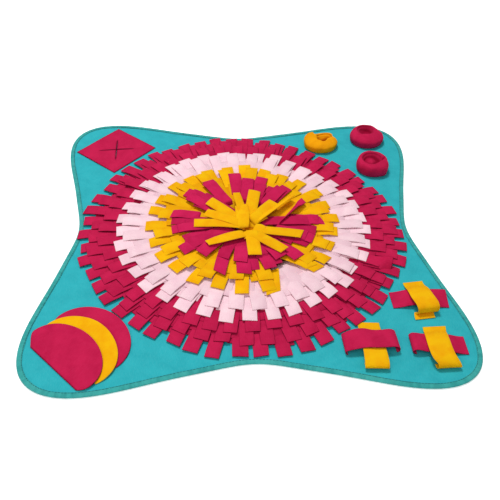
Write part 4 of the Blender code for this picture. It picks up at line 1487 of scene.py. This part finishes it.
@dataclass
class ArchedBand(FeltPiece):
    """One arched band of a crossed pair. Sizes in metres, angles in degrees."""

    centre: tuple[float, float]
    angle: float
    # Knots of its line in millimetres: way along, height over the panel, and, where they aren't 0,
    # shift to the left and roll in degrees, and a share of the width where that isn't 1.
    line: tuple[tuple[float, ...], ...]
    width: float = 37.0 * MM
    edge_drop: float = 0.5 * MM
    edge_start: float = 0.965           # share of its half width where its edge starts to round
    steps: int = 49
    columns: int = 9

    def build(self) -> bpy.types.Object:
        """Make the band.

        Formula: its knots are joined by a smooth curve. A point across the band is its share of the
        half width to the left of the curve, turned by the roll about the curve's own direction, and
        lowered at both edges with the square of the share.

        Returns:
            The band, seated.
        """
        plain = (0.0, 0.0, 0.0, 0.0, 1.0)
        knots = np.array([(*knot, *plain[len(knot):]) for knot in self.line])
        line = curve_through(knots * (MM, MM, MM, 1.0, 1.0), self.steps)
        line[1] = line[0] + (line[1] - line[0]) * 0.3
        line[-2] = line[-1] + (line[-2] - line[-1]) * 0.3
        along, height, shift, roll, share = line.T[..., None]
        across = edged(self.columns, self.edge_start)
        half = self.width / 2 * share * across
        tilt = np.radians(roll)
        over = height + half * np.sin(tilt) - self.edge_drop * across**2 * smooth(height / (8 * MM))
        middle = placed(along, shift + half * np.cos(tilt), PANEL_TOP + FELT / 2 + np.maximum(over, 0.0),
                        self.centre, math.radians(self.angle))
        way = way_along(line[:, :2])
        self.mesh.add_sheets(middle[None], stacked(half + self.centre[0], way[:, None])[None])
        band = self.seated()
        return band


BANDS = (
    ArchedBand("band_crimson_right", CRIMSON_FELT, (0.2935, -0.1915), 1.0, (
        (-47.5, 0), (-41, 0.3), (-32, 2.0), (-18, 6.0), (-2, 8.6, -0.5, 1), (12, 8.4, -1, 3),
        (24, 6.6, -2, 7), (34, 5.6, -2.5, 12, 0.99), (43, 5.6, -3.5, 16, 0.97), (51, 5.4, -4.5, 18, 0.95),
    )),
    ArchedBand("band_yellow_right", YELLOW_FELT, (0.3010, -0.1890), 97.0, (
        (-46, 0.3, 10.5, 0, 0.97), (-40, 0.4, 10, 0, 0.97), (-34, 0.8, 8.5, 0, 0.97),
        (-31.5, 1.8, 7.5, 0, 0.97), (-34, 3.2, 6, 0, 0.97), (-37.5, 6.5, 4.2), (-37.5, 11.5, 3.4, 0, 1.03),
        (-35, 17.0, 3.8, 0, 1.06), (-28, 20.0, 4.4, 0, 1.08), (-18, 18.8, 4.8, 0, 1.10),
        (-8, 16.4, 4.8, 0, 1.10), (4, 14.2, 4.4, 0, 1.08), (14, 11.4, 4.0, 0, 1.05),
        (22, 6.6, 3.2, 0, 1.02), (29, 2.6, 2.2), (35, 0.7, 1.6), (40.5, 0, 1.0),
    )),
    ArchedBand("band_yellow_left", YELLOW_FELT, (0.1930, -0.2880), 87.0, (
        (-38, 0.4, -1), (-45, 1.2, -1), (-50.5, 4.4, -0.5, 0, 1.03), (-50.5, 9.2, 0, 0, 1.05),
        (-43, 12.4, 0, 0, 1.05), (-29, 12.4, 0, 0, 1.03), (-10, 10.2), (8, 8.0), (25, 4.0), (38, 0.6),
        (46, 0),
    )),
    ArchedBand("band_crimson_left", CRIMSON_FELT, (0.1910, -0.2880), 2.0, (
        (-42, 0, -0.5), (-45, 2.6, -0.5), (-45.5, 7.4), (-40, 11.6, 0, 3), (-26, 15.0, 1.2, 8),
        (-11, 16.6, 1.2, 5), (4, 15.6, -0.6, -1), (18, 14.8, -0.6, -2), (32, 14.8), (40.5, 11.6),
        (43.5, 6.2), (42.5, 1.6), (39, 0),
    )),
    ArchedBand("band_crimson_corner", CRIMSON_FELT, (0.3030, -0.2930), -2.0, (
        (-40, 0.2), (-45, 1.6, 0, -2), (-46.5, 6.5, 0, -3), (-42, 10.6, 0, -3), (-34, 9.6, 0, -2),
        (-24, 7.2), (-10, 8.2), (6, 8.6), (20, 5.4), (32, 1.6), (40, 0.2), (46, 0),
    )),
    ArchedBand("band_yellow_corner", YELLOW_FELT, (0.3080, -0.2930), 92.0, (
        (-37, 0.4, 3.5, 0, 1.05), (-43, 0.8, 3, 0, 1.08), (-47, 3.4, 2.4, 0, 1.08),
        (-47.5, 8.0, 2.6, 0, 1.02), (-44.5, 12.6, 4.6), (-39, 16.0, 8.6, 0, 1.04),
        (-30, 16.8, 10.6, 0, 1.05), (-17, 15.2, 10.2, 0, 1.05), (-3, 13.6, 9, 0, 1.05),
        (9, 11.8, 7.6, 0, 1.04), (17.5, 8.6, 6.0, 0, 1.03), (25, 3.8, 4.0, 0, 1.03),
        (32, 1.0, 2.0, 0, 1.06), (39.5, 0, 0.4, 0, 1.07),
    )),
)


# ---- Studio and camera --------------------------------------------------------------------------

WHITE = (1.0, 1.0, 1.0)


@dataclass(frozen=True)
class SoftLight:
    """One square soft light. Place and aim in metres, power in watts."""

    name: str
    place: tuple[float, float, float]
    size: float
    power: float
    aim: tuple[float, float, float] = (0.0, 0.0, 0.0)

    def build(self) -> None:
        """Make the light and turn it to its aim."""
        data = bpy.data.lights.new(self.name, "AREA")
        data.shape = "SQUARE"
        data.size = self.size
        data.energy = self.power
        light = bpy.data.objects.new(self.name, data)
        light.location = self.place
        light.rotation_euler = (Vector(self.aim) - Vector(self.place)).to_track_quat("-Z", "Y").to_euler()
        bpy.context.scene.collection.objects.link(light)


@dataclass
class Studio:
    """A plain pale floor under soft lights."""

    floor_half: float = 8.0
    floor_drop: float = 0.4 * MM
    floor_steps: int = 8
    floor_colour: Colour = (0.93, 0.93, 0.93)
    floor_glow: float = 0.34
    sky: float = 0.27
    lights: tuple[SoftLight, ...] = (
        SoftLight("key_light", (-0.40, 1.00, 2.90), 0.7, 63.5),
        SoftLight("fill_light", (-0.55, -1.50, 1.70), 1.6, 18.0),
    )

    def build(self) -> None:
        """Make the floor, the sky and the lights, and set a plain view of colour."""
        share = np.linspace(-self.floor_half, self.floor_half, self.floor_steps + 1)
        flat = np.stack(np.meshgrid(share, share, indexing="ij"), -1).reshape(-1, 2)
        first = np.arange(len(flat)).reshape(len(share), -1)[:-1, :-1].ravel()
        quads = np.stack([first, first + len(share), first + len(share) + 1, first + 1], -1)
        mesh = bpy.data.meshes.new("floor")
        mesh.from_pydata(raised(flat, -self.floor_drop).tolist(), [], quads.tolist())
        floor = bpy.data.objects.new("floor", mesh)
        bpy.context.scene.collection.objects.link(floor)
        paint = bpy.data.materials.new("floor_paint")
        paint.use_nodes = True
        Graph(paint.node_tree).feed(paint.node_tree.nodes["Principled BSDF"], {
            "Base Color": rgba(self.floor_colour), "Roughness": 0.9, "Specular IOR Level": 0.1,
            "Emission Color": rgba(WHITE), "Emission Strength": self.floor_glow})
        mesh.materials.append(paint)
        world = bpy.data.worlds.new("studio_sky")
        world.use_nodes = True
        Graph(world.node_tree).feed(world.node_tree.nodes["Background"], {
            "Color": rgba(WHITE), "Strength": self.sky})
        bpy.context.scene.world = world
        for light in self.lights:
            light.build()
        bpy.context.scene.view_settings.view_transform = "Standard"


@dataclass
class Viewpoint:
    """The camera: angles in degrees, distances in metres, lens in millimetres."""

    lens: float = 45.07
    sensor: float = 36.0
    far: float = 60.0                   # how far it sees, in metres
    pitch: float = 43.03
    roll: float = 2.92
    turn: float = 5.18
    distance: float = 1.1836
    target: tuple[float, float, float] = (0.0111, -0.0544, 0.0)

    def build(self) -> None:
        """Make the camera, set back from its target along its pitch, and turned about the mat."""
        pitch, roll = math.radians(self.pitch), math.radians(self.roll)
        back = Vector((0.0, -math.cos(pitch), math.sin(pitch)))
        place = Vector(self.target) + back * self.distance
        right = Vector((1.0, 0.0, 0.0))
        up = right.cross(-back)
        side = right * math.cos(roll) + up * math.sin(roll)
        top = up * math.cos(roll) - right * math.sin(roll)
        turn = Matrix.Rotation(math.radians(-self.turn), 3, "Z")
        axes = Matrix([turn @ side, turn @ top, turn @ back]).transposed().to_4x4()
        data = bpy.data.cameras.new("camera")
        data.lens = self.lens
        data.sensor_width = self.sensor
        data.clip_end = self.far
        camera = bpy.data.objects.new("camera", data)
        camera.matrix_world = Matrix.Translation(turn @ place) @ axes
        bpy.context.scene.collection.objects.link(camera)
        bpy.context.scene.camera = camera


def main() -> None:
    """Build the camera, the studio and every piece of the mat, in order."""
    for assembly in (Viewpoint(), Studio(), Panel(), Binding(), *ROWS, CentreTuft("centre_tuft", YELLOW_FELT),
                     SlitPatch("diamond_patch", CRIMSON_FELT), *CUPS, *FLAPS, *BANDS):
        assembly.build()


if __name__ == "__main__":
    main()
